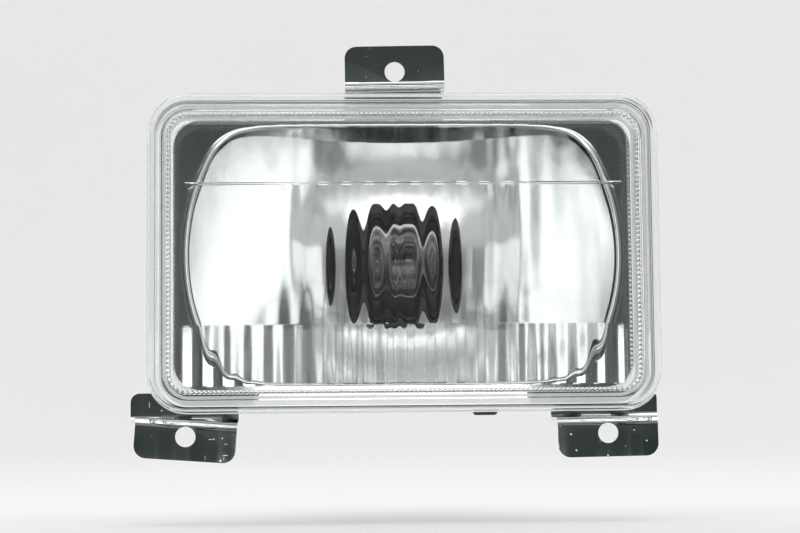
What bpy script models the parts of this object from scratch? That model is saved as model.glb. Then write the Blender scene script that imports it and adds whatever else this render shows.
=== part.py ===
"""Rectangular fog lamp on three plated brackets, with a bayonet bulb in a twist-lock holder.

Metres, +Z up. The lamp faces -Y and +X is the viewer's right. The origin is where the optical
axis crosses the rear faces of the three bracket tabs.
"""
import math

import bmesh
import bpy
from mathutils import Matrix, Vector

MM = 0.001
GAP = 0.3 * MM

# Lens: a clear tray with a skirt all round.
LENS_WIDTH = 165 * MM
LENS_HEIGHT = 103 * MM
LENS_CORNER = 13 * MM
LENS_FRONT = -9 * MM
LENS_PLATE = 2.8 * MM
LENS_WALL = 2.4 * MM
LENS_EDGE = 2 * MM
LENS_DEPTH = 14.5 * MM
TONGUE_INSET = 4.4 * MM
TONGUE_WALL = 1.8 * MM
FLUTE_STEPS = 4
FLUTE_ZONES = (
    # bottom edge, top edge, flute count, flute pitch, flute depth before the bulb and at the sides
    (-42.5 * MM, -23.3 * MM, 22, 6.5 * MM, 0.55 * MM, 0.40 * MM),
    (-23.0 * MM, 22.0 * MM, 19, 7.4 * MM, 0.55 * MM, 0.05 * MM),
    (22.3 * MM, 42.5 * MM, 19, 7.4 * MM, 0.25 * MM, 0.06 * MM),
)
FLUTES_FULL = 30 * MM
FLUTES_FADED = 50 * MM

# Reflector: a parabolic bowl cut flat above and below, with a bezel and a glued flange.
BEZEL_WIDTH = 150 * MM
BEZEL_HEIGHT = 88.4 * MM
BEZEL_CORNER = 9 * MM
BEZEL_FRONT = LENS_FRONT + 11 * MM
BEZEL_WALL = 2.5 * MM
FOCAL_LENGTH = 25 * MM
BOWL_RADIUS = 73 * MM
BOWL_WALL = 3 * MM
SHELF_Z = 42 * MM
SHELF_WALL = 2 * MM
BOWL_DEPTH = BOWL_RADIUS ** 2 / (4 * FOCAL_LENGTH)
VERTEX_Y = BEZEL_FRONT + BOWL_DEPTH
FOCUS_Y = VERTEX_Y - FOCAL_LENGTH
SKIRT_REAR = LENS_FRONT + LENS_DEPTH
FLANGE_FRONT = SKIRT_REAR + 0.7 * MM
FLANGE_REAR = FLANGE_FRONT + 2.2 * MM
FLANGE_INSET = 0.7 * MM
SEAL_INSET = 2.9 * MM
SEAL_THICKNESS = 0.8 * MM

# Neck at the back of the bowl, with a lip that the holder's lugs lock behind.
NECK_RADIUS = 24.6 * MM
NECK_REAR = VERTEX_Y + 4.6 * MM
LIP_THICKNESS = 2.4 * MM
LIP_RADIUS = 19.6 * MM
CAVITY_RADIUS = 21.8 * MM
LUG_COUNT = 3
LUG_WIDTH = 7 * MM
TWIST_ANGLE = math.radians(40)

# Brackets: plated strip, bent twice, with a rounded tab in front and a screwed foot behind.
BRACKET_SHIFT = -2.5 * MM
HOLE_SPACING = 136 * MM
TOP_HOLE_Z = 59.4 * MM
BOTTOM_HOLE_Z = -58.6 * MM
HOLE_RADIUS = 3.25 * MM
STRIP = 1.5 * MM
TAB_WIDTH = 32.5 * MM
TAB_CORNER = 4 * MM
TOP_TAB_MARGIN = 8.6 * MM
BOTTOM_TAB_MARGIN = 7.6 * MM
LEDGE_Z = LENS_HEIGHT / 2 + 2.5 * MM
BEND_RADIUS = 2.6 * MM
BOSS_REAR = FLANGE_REAR + 7.6 * MM
BOSS_RADIUS = 3 * MM
FOOT_EDGE_Z = 44.4 * MM
FOOT_CORNER = 3 * MM
FOOT_FLARE = 3 * MM
SCREW_Z = 47.3 * MM
SCREW_RADIUS = 1.3 * MM
SCREW_HEAD_RADIUS = 2.7 * MM
SIDE_SCREWS = (57 * MM, 73 * MM)
TOP_SCREW_OFFSET = 9 * MM
TAB_TILTS = {"top": math.radians(0.9), "left": math.radians(-4.2), "right": math.radians(0.8)}

# Bulb: 12 V single-filament bayonet bulb, 15 mm base.
PIN_PLANE = FOCUS_Y + 31.8 * MM
BULB_REAR = PIN_PLANE + 8 * MM
GLASS_RADIUS = 12.9 * MM
GLASS_WALL = 0.9 * MM
BASE_RADIUS = 7.5 * MM
BASE_FRONT = VERTEX_Y - 0.9 * MM
PIN_RADIUS = 1 * MM
PIN_REACH = 8.7 * MM

# Holder: twist-lock body with a metal socket sleeve and a two-way plug socket at the back.
GASKET_THICKNESS = 1.7 * MM
BODY_FRONT = VERTEX_Y - 1.8 * MM
BODY_RADIUS = 19.3 * MM
RING_WALL = 1.8 * MM
HUB_RADIUS = 11.2 * MM
BORE_RADIUS = 9.4 * MM
GRIP_FRONT = NECK_REAR + GASKET_THICKNESS + 2 * GAP
GRIP_REAR = GRIP_FRONT + 3 * MM
GRIP_RADIUS = 27 * MM
HOUSING_RADIUS = 12.5 * MM
BORE_REAR = BULB_REAR + 11 * MM
HOUSING_REAR = BORE_REAR + 1.8 * MM
SOCKET_REAR = HOUSING_REAR + 10 * MM
SOCKET_SIZE = (18 * MM, 11 * MM)
SOCKET_WALL = 1.4 * MM
BLADE_X = 4 * MM
BLADE_WIDTH = 6.3 * MM
BLADE_THICKNESS = 0.8 * MM
SLEEVE_INNER = 7.8 * MM
SLEEVE_OUTER = 8.5 * MM
SLOT_WIDTH = 2.7 * MM
SPRING_TURNS = 4

# Breather under the bowl.
VENT_X = 28 * MM
VENT_Y = 24 * MM
VENT_RADIUS = 2.6 * MM

COLOURS = {
    # base colour, roughness, metallic, transmission
    "clear_plastic": ((0.90, 0.93, 0.93), 0.05, 0.0, 1.0),
    "adhesive": ((0.80, 0.80, 0.74), 0.5, 0.0, 0.0),
    "mirror_plastic": ((0.78, 0.80, 0.80), 0.08, 1.0, 0.0),
    "chromed_steel": ((0.46, 0.48, 0.48), 0.10, 1.0, 0.0),
    "zinc_steel": ((0.60, 0.60, 0.57), 0.35, 1.0, 0.0),
    "rubber": ((0.02, 0.02, 0.02), 0.8, 0.0, 0.0),
    "black_plastic": ((0.03, 0.03, 0.03), 0.45, 0.0, 0.0),
    "bulb_glass": ((0.95, 0.96, 0.95), 0.02, 0.0, 1.0),
    "brass": ((0.72, 0.55, 0.25), 0.30, 1.0, 0.0),
    "tinned_brass": ((0.66, 0.64, 0.58), 0.35, 1.0, 0.0),
    "tungsten": ((0.25, 0.24, 0.23), 0.5, 1.0, 0.0),
    "spring_steel": ((0.45, 0.45, 0.45), 0.35, 1.0, 0.0),
}


def clear_scene():
    for old in list(bpy.data.objects):
        bpy.data.objects.remove(old, do_unlink=True)


def material(name):
    made = bpy.data.materials.get(name)
    if made:
        return made
    colour, roughness, metallic, transmission = COLOURS[name]
    made = bpy.data.materials.new(name)
    made.use_nodes = True
    shader = made.node_tree.nodes["Principled BSDF"]
    shader.inputs["Base Color"].default_value = (*colour, 1)
    shader.inputs["Roughness"].default_value = roughness
    shader.inputs["Metallic"].default_value = metallic
    shader.inputs["Transmission Weight"].default_value = transmission
    return made


def add_object(name, shape, look, parent=None):
    """Turn a bmesh whose points are world positions into a named object facing outwards."""
    bmesh.ops.recalc_face_normals(shape, faces=shape.faces)
    if shape.calc_volume(signed=True) < 0:
        bmesh.ops.reverse_faces(shape, faces=shape.faces)
    if parent:
        bmesh.ops.translate(shape, vec=-parent.location, verts=shape.verts)
    mesh = bpy.data.meshes.new(name)
    shape.to_mesh(mesh)
    shape.free()
    mesh.shade_smooth()
    mesh.set_sharp_from_angle(angle=math.radians(35))
    made = bpy.data.objects.new(name, mesh)
    bpy.context.scene.collection.objects.link(made)
    made.data.materials.append(material(look))
    made.parent = parent
    return made


def add_axis(name, location):
    """An empty on a joint's axis, which carries the pieces that move with the joint."""
    empty = bpy.data.objects.new(name, None)
    empty.location = location
    bpy.context.scene.collection.objects.link(empty)
    return empty


def combine(target, tool, operation):
    """Cut a tool from a target, join it on, or keep what they share; the tool stays hidden."""
    tool.hide_render = True
    tool.display_type = "WIRE"
    step = target.modifiers.new(tool.name, "BOOLEAN")
    step.operation = operation
    step.solver = "EXACT"
    step.object = tool
    return target


def loft(loops, ring=False):
    """Join loops of equal length into a solid with flat ends, or into a ring."""
    shape = bmesh.new()
    rows = [[shape.verts.new(point) for point in loop] for loop in loops]
    pairs = list(zip(rows, rows[1:]))
    if ring:
        pairs.append((rows[-1], rows[0]))
    else:
        shape.faces.new(rows[0])
        shape.faces.new(rows[-1])
    count = len(loops[0])
    for near, far in pairs:
        for i in range(count):
            j = (i + 1) % count
            shape.faces.new((near[i], near[j], far[j], far[i]))
    return shape


def turned(profile, steps, centre=(0, 0)):
    """Turn a profile of (radius, y) points about a line along Y; ends on the line are poles."""
    shape = bmesh.new()
    rows = []
    for radius, y in profile:
        if radius < 1e-7:
            rows.append([shape.verts.new((centre[0], y, centre[1]))])
            continue
        row = []
        for i in range(steps):
            angle = 2 * math.pi * i / steps
            x = centre[0] + radius * math.cos(angle)
            row.append(shape.verts.new((x, y, centre[1] + radius * math.sin(angle))))
        rows.append(row)
    pairs = list(zip(rows, rows[1:]))
    if len(rows[0]) > 1 and len(rows[-1]) > 1:
        pairs.append((rows[-1], rows[0]))
    for near, far in pairs:
        if len(near) == 1 and len(far) == 1:
            continue
        for i in range(steps):
            j = (i + 1) % steps
            corners = [near[i % len(near)], near[j % len(near)], far[j % len(far)], far[i % len(far)]]
            shape.faces.new(list(dict.fromkeys(corners)))
    return shape


def rounded_rectangle(width, height, corner, y, steps=6):
    points = []
    for turn, (side_x, side_z) in enumerate(((1, 1), (-1, 1), (-1, -1), (1, -1))):
        for i in range(steps + 1):
            angle = math.pi / 2 * (turn + i / steps)
            x = side_x * (width / 2 - corner) + corner * math.cos(angle)
            z = side_z * (height / 2 - corner) + corner * math.sin(angle)
            points.append((x, y, z))
    return points


def inset_loop(inset, y):
    """The lens outline moved inwards by a distance."""
    return rounded_rectangle(LENS_WIDTH - 2 * inset, LENS_HEIGHT - 2 * inset, LENS_CORNER - inset, y)


def block(low, high):
    shape = bmesh.new()
    bmesh.ops.create_cube(shape, size=1)
    size = [high[i] - low[i] for i in range(3)]
    middle = [(high[i] + low[i]) / 2 for i in range(3)]
    bmesh.ops.scale(shape, vec=size, verts=shape.verts)
    bmesh.ops.translate(shape, vec=middle, verts=shape.verts)
    return shape


def rod(start, end, radius, steps=16):
    start, end = Vector(start), Vector(end)
    shape = bmesh.new()
    bmesh.ops.create_cone(
        shape, cap_ends=True, segments=steps, radius1=radius, radius2=radius,
        depth=(end - start).length,
    )
    turn = (end - start).to_track_quat("Z", "Y").to_matrix().to_4x4()
    bmesh.ops.transform(shape, matrix=Matrix.Translation((start + end) / 2) @ turn, verts=shape.verts)
    return shape


def tube(path, radius, sides=6):
    """A round wire with flat ends along a list of points."""
    points = [Vector(point) for point in path]
    loops = []
    side = None
    for i, point in enumerate(points):
        along = (points[min(i + 1, len(points) - 1)] - points[max(i - 1, 0)]).normalized()
        if side is None:
            side = along.orthogonal().normalized()
        side = (side - along * side.dot(along)).normalized()
        up = along.cross(side)
        angles = [2 * math.pi * k / sides for k in range(sides)]
        loops.append([point + radius * (math.cos(a) * side + math.sin(a) * up) for a in angles])
    return loft(loops)


# ---------------------------------------------------------------- lens and seal

def lens():
    skirt_rear = SKIRT_REAR
    plate_rear = LENS_FRONT + LENS_PLATE
    tongue_end = skirt_rear - 0.9 * MM
    shape = loft([
        inset_loop(0, skirt_rear),
        inset_loop(0, LENS_FRONT + LENS_EDGE),
        inset_loop(LENS_EDGE * 0.3, LENS_FRONT + LENS_EDGE * 0.3),
        inset_loop(LENS_EDGE, LENS_FRONT),
        inset_loop(TONGUE_INSET + TONGUE_WALL, LENS_FRONT),
        inset_loop(TONGUE_INSET + TONGUE_WALL, tongue_end),
        inset_loop(TONGUE_INSET, tongue_end),
        inset_loop(TONGUE_INSET, plate_rear),
        inset_loop(LENS_WALL, plate_rear),
        inset_loop(LENS_WALL, skirt_rear),
    ], ring=True)
    tray = add_object("lens", shape, "clear_plastic")
    overlap = 0.4 * MM
    inner = TONGUE_INSET + TONGUE_WALL - overlap
    window = loft([inset_loop(inner, LENS_FRONT), inset_loop(inner, plate_rear)])
    pane = add_object("lens_pane", window, "clear_plastic")
    combine(tray, pane, "UNION")
    for index, zone in enumerate(FLUTE_ZONES):
        combine(tray, add_object(f"flutes_{index}", fluted_pad(*zone), "clear_plastic"), "UNION")
    return tray


def flute_depth(x, centre_depth, side_depth):
    """Flutes are deepest in front of the bulb and fade towards the sides."""
    share = min(max((FLUTES_FADED - abs(x)) / (FLUTES_FADED - FLUTES_FULL), 0), 1)
    return side_depth + (centre_depth - side_depth) * share ** 2 * (3 - 2 * share)


def fluted_pad(bottom, top, count, pitch, centre_depth, side_depth):
    """A slab with upright wavy flutes on its rear face, sunk into the lens's plate."""
    sunk = LENS_FRONT + LENS_PLATE - 1 * MM
    rear = LENS_FRONT + LENS_PLATE + 0.2 * MM
    half = count * pitch / 2
    profile = []
    for i in range(count * FLUTE_STEPS + 1):
        phase = (i % FLUTE_STEPS) / FLUTE_STEPS
        x = -half + i * pitch / FLUTE_STEPS
        middle = -half + (i // FLUTE_STEPS + 0.5) * pitch
        depth = flute_depth(middle, centre_depth, side_depth)
        profile.append((x, rear + depth * (1 - math.cos(2 * math.pi * phase)) / 2))
    profile += [(half, sunk), (-half, sunk)]
    return loft([[(x, y, z) for x, y in profile] for z in (bottom, top)])


def lens_seal():
    outer, inner = SEAL_INSET, (LENS_WIDTH - BEZEL_WIDTH) / 2 - 0.5 * MM
    rear = FLANGE_FRONT - GAP
    front = rear - SEAL_THICKNESS + GAP
    shape = loft([inset_loop(outer, rear), inset_loop(outer, front),
                  inset_loop(inner, front), inset_loop(inner, rear)], ring=True)
    add_object("lens_seal", shape, "adhesive")


# ---------------------------------------------------------------- reflector

def bowl_profile(vertex, front, steps, overshoot):
    """A paraboloid from its vertex to a front plane, closed by a flat disc ahead of the plane."""
    reach = math.sqrt(4 * FOCAL_LENGTH * (vertex - front))
    curve = []
    for i in range(steps + 1):
        radius = reach * i / steps
        curve.append((radius, vertex - radius ** 2 / (4 * FOCAL_LENGTH)))
    if overshoot:
        curve.append((reach, front - overshoot))
    return curve + [(0, front - overshoot)]


def cut_bowl(name, vertex, front, shelf, overshoot=0.0):
    """A paraboloid cut off flat above and below."""
    bowl = add_object(name, turned(bowl_profile(vertex, front, 9, overshoot), 48), "mirror_plastic")
    reach = BOWL_RADIUS * 2
    slab = add_object(name + "_slab", block((-reach, front - reach, -shelf), (reach, vertex + reach, shelf)),
                      "mirror_plastic")
    return combine(bowl, slab, "INTERSECT")


def boss_points():
    places = [(side * x, -SCREW_Z) for side in (-1, 1) for x in SIDE_SCREWS]
    places += [(BRACKET_SHIFT + side * TOP_SCREW_OFFSET, SCREW_Z) for side in (-1, 1)]
    return places


def lug_ring(inner, outer, width, front, rear, angle):
    """Three radial blocks spaced evenly round the optical axis."""
    shape = bmesh.new()
    for i in range(LUG_COUNT):
        part = block((inner, front, -width / 2), (outer, rear, width / 2))
        turn = Matrix.Rotation(angle + 2 * math.pi * i / LUG_COUNT, 4, "Y")
        bmesh.ops.transform(part, matrix=turn, verts=part.verts)
        mesh = bpy.data.meshes.new("lug")
        part.to_mesh(mesh)
        shape.from_mesh(mesh)
        bpy.data.meshes.remove(mesh)
        part.free()
    return shape


def reflector():
    shape = loft([
        rounded_rectangle(BEZEL_WIDTH, BEZEL_HEIGHT, BEZEL_CORNER, BEZEL_FRONT),
        rounded_rectangle(BEZEL_WIDTH, BEZEL_HEIGHT, BEZEL_CORNER, FLANGE_FRONT),
        inset_loop(FLANGE_INSET, FLANGE_FRONT),
        inset_loop(FLANGE_INSET, FLANGE_REAR),
    ])
    shell = add_object("reflector", shape, "mirror_plastic")
    pocket = loft([
        rounded_rectangle(BEZEL_WIDTH - 2 * BEZEL_WALL, BEZEL_HEIGHT - 2 * BEZEL_WALL,
                          BEZEL_CORNER - BEZEL_WALL, y)
        for y in (BEZEL_FRONT + BEZEL_WALL, FLANGE_REAR + 5 * MM)
    ])
    combine(shell, add_object("pocket", pocket, "mirror_plastic"), "DIFFERENCE")
    outer = cut_bowl("outer_bowl", VERTEX_Y + BOWL_WALL, BEZEL_FRONT + 1 * MM, SHELF_Z + SHELF_WALL)
    combine(shell, outer, "UNION")
    neck = rod((0, VERTEX_Y - 6 * MM, 0), (0, NECK_REAR, 0), NECK_RADIUS, 40)
    combine(shell, add_object("neck", neck, "mirror_plastic"), "UNION")
    for index, (x, z) in enumerate(boss_points()):
        boss = rod((x, FLANGE_REAR - 1 * MM, z), (x, BOSS_REAR, z), BOSS_RADIUS, 16)
        combine(shell, add_object(f"boss_{index}", boss, "mirror_plastic"), "UNION")
    spigot = rod((VENT_X, VENT_Y, -SHELF_Z - 1 * MM), (VENT_X, VENT_Y, -SHELF_Z - 8 * MM), VENT_RADIUS, 16)
    combine(shell, add_object("spigot", spigot, "mirror_plastic"), "UNION")
    inner = cut_bowl("inner_bowl", VERTEX_Y, BEZEL_FRONT, SHELF_Z, 3 * MM)
    combine(shell, inner, "DIFFERENCE")
    lip_front = NECK_REAR - LIP_THICKNESS
    cavity = turned([
        (0, VERTEX_Y - 8 * MM), (CAVITY_RADIUS, VERTEX_Y - 8 * MM), (CAVITY_RADIUS, lip_front),
        (LIP_RADIUS, lip_front), (LIP_RADIUS, NECK_REAR + 1 * MM), (0, NECK_REAR + 1 * MM),
    ], 40)
    combine(shell, add_object("cavity", cavity, "mirror_plastic"), "DIFFERENCE")
    notches = lug_ring(LIP_RADIUS - 1 * MM, CAVITY_RADIUS - 0.1 * MM, LUG_WIDTH + 1 * MM,
                       lip_front - 1 * MM, NECK_REAR + 1 * MM, TWIST_ANGLE)
    combine(shell, add_object("notches", notches, "mirror_plastic"), "DIFFERENCE")
    for index, (x, z) in enumerate(boss_points()):
        pilot = rod((x, FLANGE_REAR, z), (x, BOSS_REAR + 1 * MM, z), SCREW_RADIUS + GAP, 12)
        combine(shell, add_object(f"pilot_{index}", pilot, "mirror_plastic"), "DIFFERENCE")
    drain = rod((VENT_X, VENT_Y, -SHELF_Z + 1 * MM), (VENT_X, VENT_Y, -SHELF_Z - 9 * MM), 1.2 * MM, 10)
    combine(shell, add_object("drain", drain, "mirror_plastic"), "DIFFERENCE")


def vent_cap():
    """A rubber cup on the breather spigot, with a small hole in its end."""
    top, floor, end = -SHELF_Z - 4 * MM, -SHELF_Z - 8 * MM - GAP, -SHELF_Z - 10.5 * MM
    bore = VENT_RADIUS + GAP
    outer = bore + 1.3 * MM
    shape = turned([(outer, top), (outer, end + 1 * MM), (outer - 1 * MM, end), (0.8 * MM, end),
                    (0.8 * MM, floor), (bore, floor), (bore, top)], 20)
    bmesh.ops.transform(shape, matrix=Matrix.Rotation(math.pi / 2, 4, "X"), verts=shape.verts)
    bmesh.ops.translate(shape, vec=(VENT_X, VENT_Y, 0), verts=shape.verts)
    add_object("vent_cap", shape, "rubber")


# ---------------------------------------------------------------- brackets

def rounded_path(corners, radius, steps=4):
    """Points and directions along a bent line whose inner corners are arcs."""
    ends = [Vector(corner) for corner in corners]
    points = [(ends[0], (ends[1] - ends[0]).normalized())]
    for before, corner, after in zip(ends, ends[1:], ends[2:]):
        into, out = (corner - before).normalized(), (after - corner).normalized()
        start = corner - into * radius
        for i in range(steps + 1):
            angle = math.pi / 2 * i / steps
            point = start + into * radius * math.sin(angle) + out * radius * (1 - math.cos(angle))
            points.append((point, (into * math.cos(angle) + out * math.sin(angle)).normalized()))
    points.append((ends[-1], (ends[-1] - ends[-2]).normalized()))
    return points


def corner_stations(length, corner, steps=4):
    """Distances from a rounded end, and how far each side has drawn in there."""
    stations = []
    for i in range(steps + 1):
        angle = math.pi / 2 * i / steps
        stations.append((corner * (1 - math.cos(angle)), corner * (1 - math.sin(angle))))
    return [(distance, draw_in) for distance, draw_in in stations if distance < length]


def bracket(name, hole_x, hole_z, margin, tilt, flare_side):
    """A strip from the foot behind the flange, forward past the lens's edge, out to the tab."""
    side = 1 if hole_z > 0 else -1
    foot_y = BOSS_REAR + GAP + STRIP / 2
    tab_y = -STRIP / 2
    corners = [(foot_y, side * FOOT_EDGE_Z), (foot_y, side * LEDGE_Z), (tab_y, side * LEDGE_Z),
               (tab_y, hole_z + side * margin)]
    path = rounded_path(corners, BEND_RADIUS)
    rows = []
    foot_end, foot_way = path[0]
    for distance, draw_in in corner_stations(10 * MM, FOOT_CORNER):
        rows.append((foot_end + foot_way * distance, foot_way, draw_in, 0))
    for point, way in path[1:-1]:
        rows.append((point, way, 0, (foot_y - point.x) / (foot_y - tab_y)))
    tab_end, tab_way = path[-1]
    for distance, draw_in in reversed(corner_stations(10 * MM, TAB_CORNER)):
        rows.append((tab_end - tab_way * distance, tab_way, draw_in, 1))
    loops = []
    for point, way, draw_in, blend in rows:
        half = TAB_WIDTH / 2 - draw_in
        flare = FOOT_FLARE * (1 - blend)
        left = -half - (flare if flare_side < 0 else 0)
        right = half + (flare if flare_side > 0 else 0)
        normal = Vector((0, -way.y, way.x)) * STRIP / 2
        centre = Vector((0, point.x, point.y - hole_z))
        corners_here = [Vector((left, 0, 0)) + normal, Vector((right, 0, 0)) + normal,
                        Vector((right, 0, 0)) - normal, Vector((left, 0, 0)) - normal]
        turn = Matrix.Rotation(-tilt * blend, 3, "Y")
        loops.append([Vector((hole_x, 0, hole_z)) + turn @ (centre + corner) for corner in corners_here])
    strip = add_object(name, loft(loops), "chromed_steel")
    hole = rod((hole_x, -3 * MM, hole_z), (hole_x, 2 * MM, hole_z), HOLE_RADIUS, 28)
    combine(strip, add_object(name + "_hole", hole, "chromed_steel"), "DIFFERENCE")
    return strip


def brackets():
    half = HOLE_SPACING / 2
    layout = (
        ("top", BRACKET_SHIFT, TOP_HOLE_Z, TOP_TAB_MARGIN, 0),
        ("left", BRACKET_SHIFT - half, BOTTOM_HOLE_Z, BOTTOM_TAB_MARGIN, -1),
        ("right", BRACKET_SHIFT + half, BOTTOM_HOLE_Z, BOTTOM_TAB_MARGIN, 1),
    )
    places = boss_points()
    screws = {"left": places[0:2], "right": places[2:4], "top": places[4:6]}
    for place, x, z, margin, flare_side in layout:
        strip = bracket("bracket_" + place, x, z, margin, TAB_TILTS[place], flare_side)
        for index, (screw_x, screw_z) in enumerate(screws[place], 1):
            name = f"bracket_screw_{place}_{index}"
            start, end = (screw_x, BOSS_REAR - 1 * MM, screw_z), (screw_x, BOSS_REAR + 4 * MM, screw_z)
            clearance = add_object(name + "_hole", rod(start, end, SCREW_RADIUS + GAP, 12), "zinc_steel")
            combine(strip, clearance, "DIFFERENCE")
            bracket_screw(name, screw_x, screw_z)


def bracket_screw(name, x, z):
    """A pan-head screw with a cross recess, from behind through the foot into its boss."""
    seat = BOSS_REAR + GAP + STRIP + GAP
    tip = FLANGE_REAR + 0.6 * MM
    shape = turned([
        (0, tip), (SCREW_RADIUS * 0.5, tip), (SCREW_RADIUS, tip + 1 * MM), (SCREW_RADIUS, seat),
        (SCREW_HEAD_RADIUS, seat), (SCREW_HEAD_RADIUS, seat + 0.9 * MM),
        (SCREW_HEAD_RADIUS * 0.75, seat + 1.8 * MM), (0, seat + 2 * MM),
    ], 14, (x, z))
    screw = add_object(name, shape, "zinc_steel")
    reach, width, floor = 1.5 * MM, 0.3 * MM, seat + 0.8 * MM
    for index, (half_x, half_z) in enumerate(((reach, width), (width, reach))):
        slot = block((x - half_x, floor, z - half_z), (x + half_x, seat + 4 * MM, z + half_z))
        combine(screw, add_object(f"{name}_slot_{index}", slot, "zinc_steel"), "DIFFERENCE")


# ---------------------------------------------------------------- holder

def holder_gasket(holder):
    front = NECK_REAR + GAP
    rear = front + GASKET_THICKNESS
    inner, outer = LIP_RADIUS + 0.4 * MM, NECK_RADIUS
    shape = turned([(inner, front), (outer, front), (outer, rear), (inner, rear)], 32)
    add_object("holder_gasket", shape, "rubber", holder)


def holder_body(holder):
    web_front = GRIP_FRONT - 0.8 * MM
    ring_inner = BODY_RADIUS - RING_WALL
    shape = turned([
        (BORE_RADIUS, BODY_FRONT), (HUB_RADIUS, BODY_FRONT), (HUB_RADIUS, web_front),
        (ring_inner, web_front), (ring_inner, BODY_FRONT), (BODY_RADIUS - 0.5 * MM, BODY_FRONT),
        (BODY_RADIUS, BODY_FRONT + 0.5 * MM), (BODY_RADIUS, GRIP_FRONT), (GRIP_RADIUS, GRIP_FRONT),
        (GRIP_RADIUS, GRIP_REAR), (HOUSING_RADIUS + 1 * MM, GRIP_REAR), (HOUSING_RADIUS, GRIP_REAR + 1 * MM),
        (HOUSING_RADIUS, HOUSING_REAR - 1 * MM), (HOUSING_RADIUS - 1 * MM, HOUSING_REAR),
        (0, HOUSING_REAR), (0, BORE_REAR), (BORE_RADIUS, BORE_REAR),
    ], 48)
    body = add_object("holder_body", shape, "black_plastic", holder)
    lip_front = NECK_REAR - LIP_THICKNESS
    lugs = lug_ring(BODY_RADIUS - 1.2 * MM, CAVITY_RADIUS - 0.4 * MM, LUG_WIDTH,
                    lip_front - 2.7 * MM, lip_front - GAP, 0)
    lug_tool = add_object("lugs", lugs, "black_plastic", holder)
    combine(body, lug_tool, "UNION")
    for index in range(4):
        angle = math.pi / 4 + index * math.pi / 2
        x, z = (GRIP_RADIUS - 0.5 * MM) * math.cos(angle), (GRIP_RADIUS - 0.5 * MM) * math.sin(angle)
        grip = rod((x, GRIP_FRONT + 0.4 * MM, z), (x, GRIP_REAR + 2 * MM, z), 2.5 * MM, 12)
        combine(body, add_object(f"grip_{index}", grip, "black_plastic", holder), "UNION")
    half_x, half_z = SOCKET_SIZE[0] / 2, SOCKET_SIZE[1] / 2
    shroud = block((-half_x, HOUSING_REAR - 1.2 * MM, -half_z), (half_x, SOCKET_REAR, half_z))
    combine(body, add_object("shroud", shroud, "black_plastic", holder), "UNION")
    inner_x, inner_z = half_x - SOCKET_WALL, half_z - SOCKET_WALL
    mouth = block((-inner_x, HOUSING_REAR, -inner_z), (inner_x, SOCKET_REAR + 1 * MM, inner_z))
    combine(body, add_object("plug_mouth", mouth, "black_plastic", holder), "DIFFERENCE")
    for side in (-1, 1):
        low, high = blade_box(side, BORE_REAR - 1 * MM, HOUSING_REAR + 1 * MM, GAP)
        slot = add_object(f"blade_slot_{side + 1}", block(low, high), "black_plastic", holder)
        combine(body, slot, "DIFFERENCE")


def blade_box(side, front, rear, margin=0.0):
    """The box of a terminal blade, or of the slot it stands in."""
    half_x, half_z = BLADE_THICKNESS / 2 + margin, BLADE_WIDTH / 2 + margin
    x = side * BLADE_X
    return (x - half_x, front, -half_z), (x + half_x, rear, half_z)


def socket_sleeve(holder):
    """The metal bayonet sleeve, flared at the back to seat in the holder's bore."""
    front, rear = BODY_FRONT + 0.4 * MM, BULB_REAR + 0.6 * MM
    rim = BORE_RADIUS - GAP
    shape = turned([
        (SLEEVE_INNER, front), (SLEEVE_OUTER, front), (SLEEVE_OUTER, rear - 1 * MM),
        (rim, rear - 1 * MM), (rim, rear), (SLEEVE_INNER, rear),
    ], 36)
    sleeve = add_object("socket_sleeve", shape, "tinned_brass", holder)
    pocket_front, pocket_rear = PIN_PLANE - PIN_RADIUS - GAP, PIN_PLANE + 2.5 * MM + PIN_RADIUS + 2 * GAP
    slots = ((0, pocket_front), (-12.5, pocket_rear - SLOT_WIDTH), (-25, front - 1 * MM))
    for index, (degrees, slot_front) in enumerate(slots):
        part = block((-rim - 1 * MM, slot_front, -SLOT_WIDTH / 2), (rim + 1 * MM, pocket_rear, SLOT_WIDTH / 2))
        bmesh.ops.transform(part, matrix=Matrix.Rotation(math.radians(degrees), 4, "Y"), verts=part.verts)
        combine(sleeve, add_object(f"j_slot_{index}", part, "tinned_brass", holder), "DIFFERENCE")


def terminals(holder):
    """Two push-on blades; the live one is bent over behind the spring, the other meets the sleeve."""
    blade_rear = SOCKET_REAR - 1.6 * MM
    inner = BORE_REAR - GAP
    low, high = blade_box(1, inner - BLADE_THICKNESS, blade_rear)
    live = add_object("terminal_live", block(low, high), "brass", holder)
    foot = block((-3 * MM, inner - BLADE_THICKNESS, -BLADE_WIDTH / 2 + 0.2 * MM),
                 (BLADE_X, inner, BLADE_WIDTH / 2 - 0.2 * MM))
    combine(live, add_object("live_foot", foot, "brass", holder), "UNION")
    low, high = blade_box(-1, inner - BLADE_THICKNESS, blade_rear)
    earth = add_object("terminal_earth", block(low, high), "brass", holder)
    outer_x = BORE_RADIUS - 1.0 * MM
    step = block((-outer_x, inner - BLADE_THICKNESS, -1.8 * MM), (-BLADE_X, inner, 1.8 * MM))
    combine(earth, add_object("earth_step", step, "brass", holder), "UNION")
    leg = block((-outer_x, BULB_REAR + 0.6 * MM + GAP, -1.7 * MM),
                (-outer_x + BLADE_THICKNESS, inner - 0.1 * MM, 1.7 * MM))
    combine(earth, add_object("earth_leg", leg, "brass", holder), "UNION")


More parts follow.
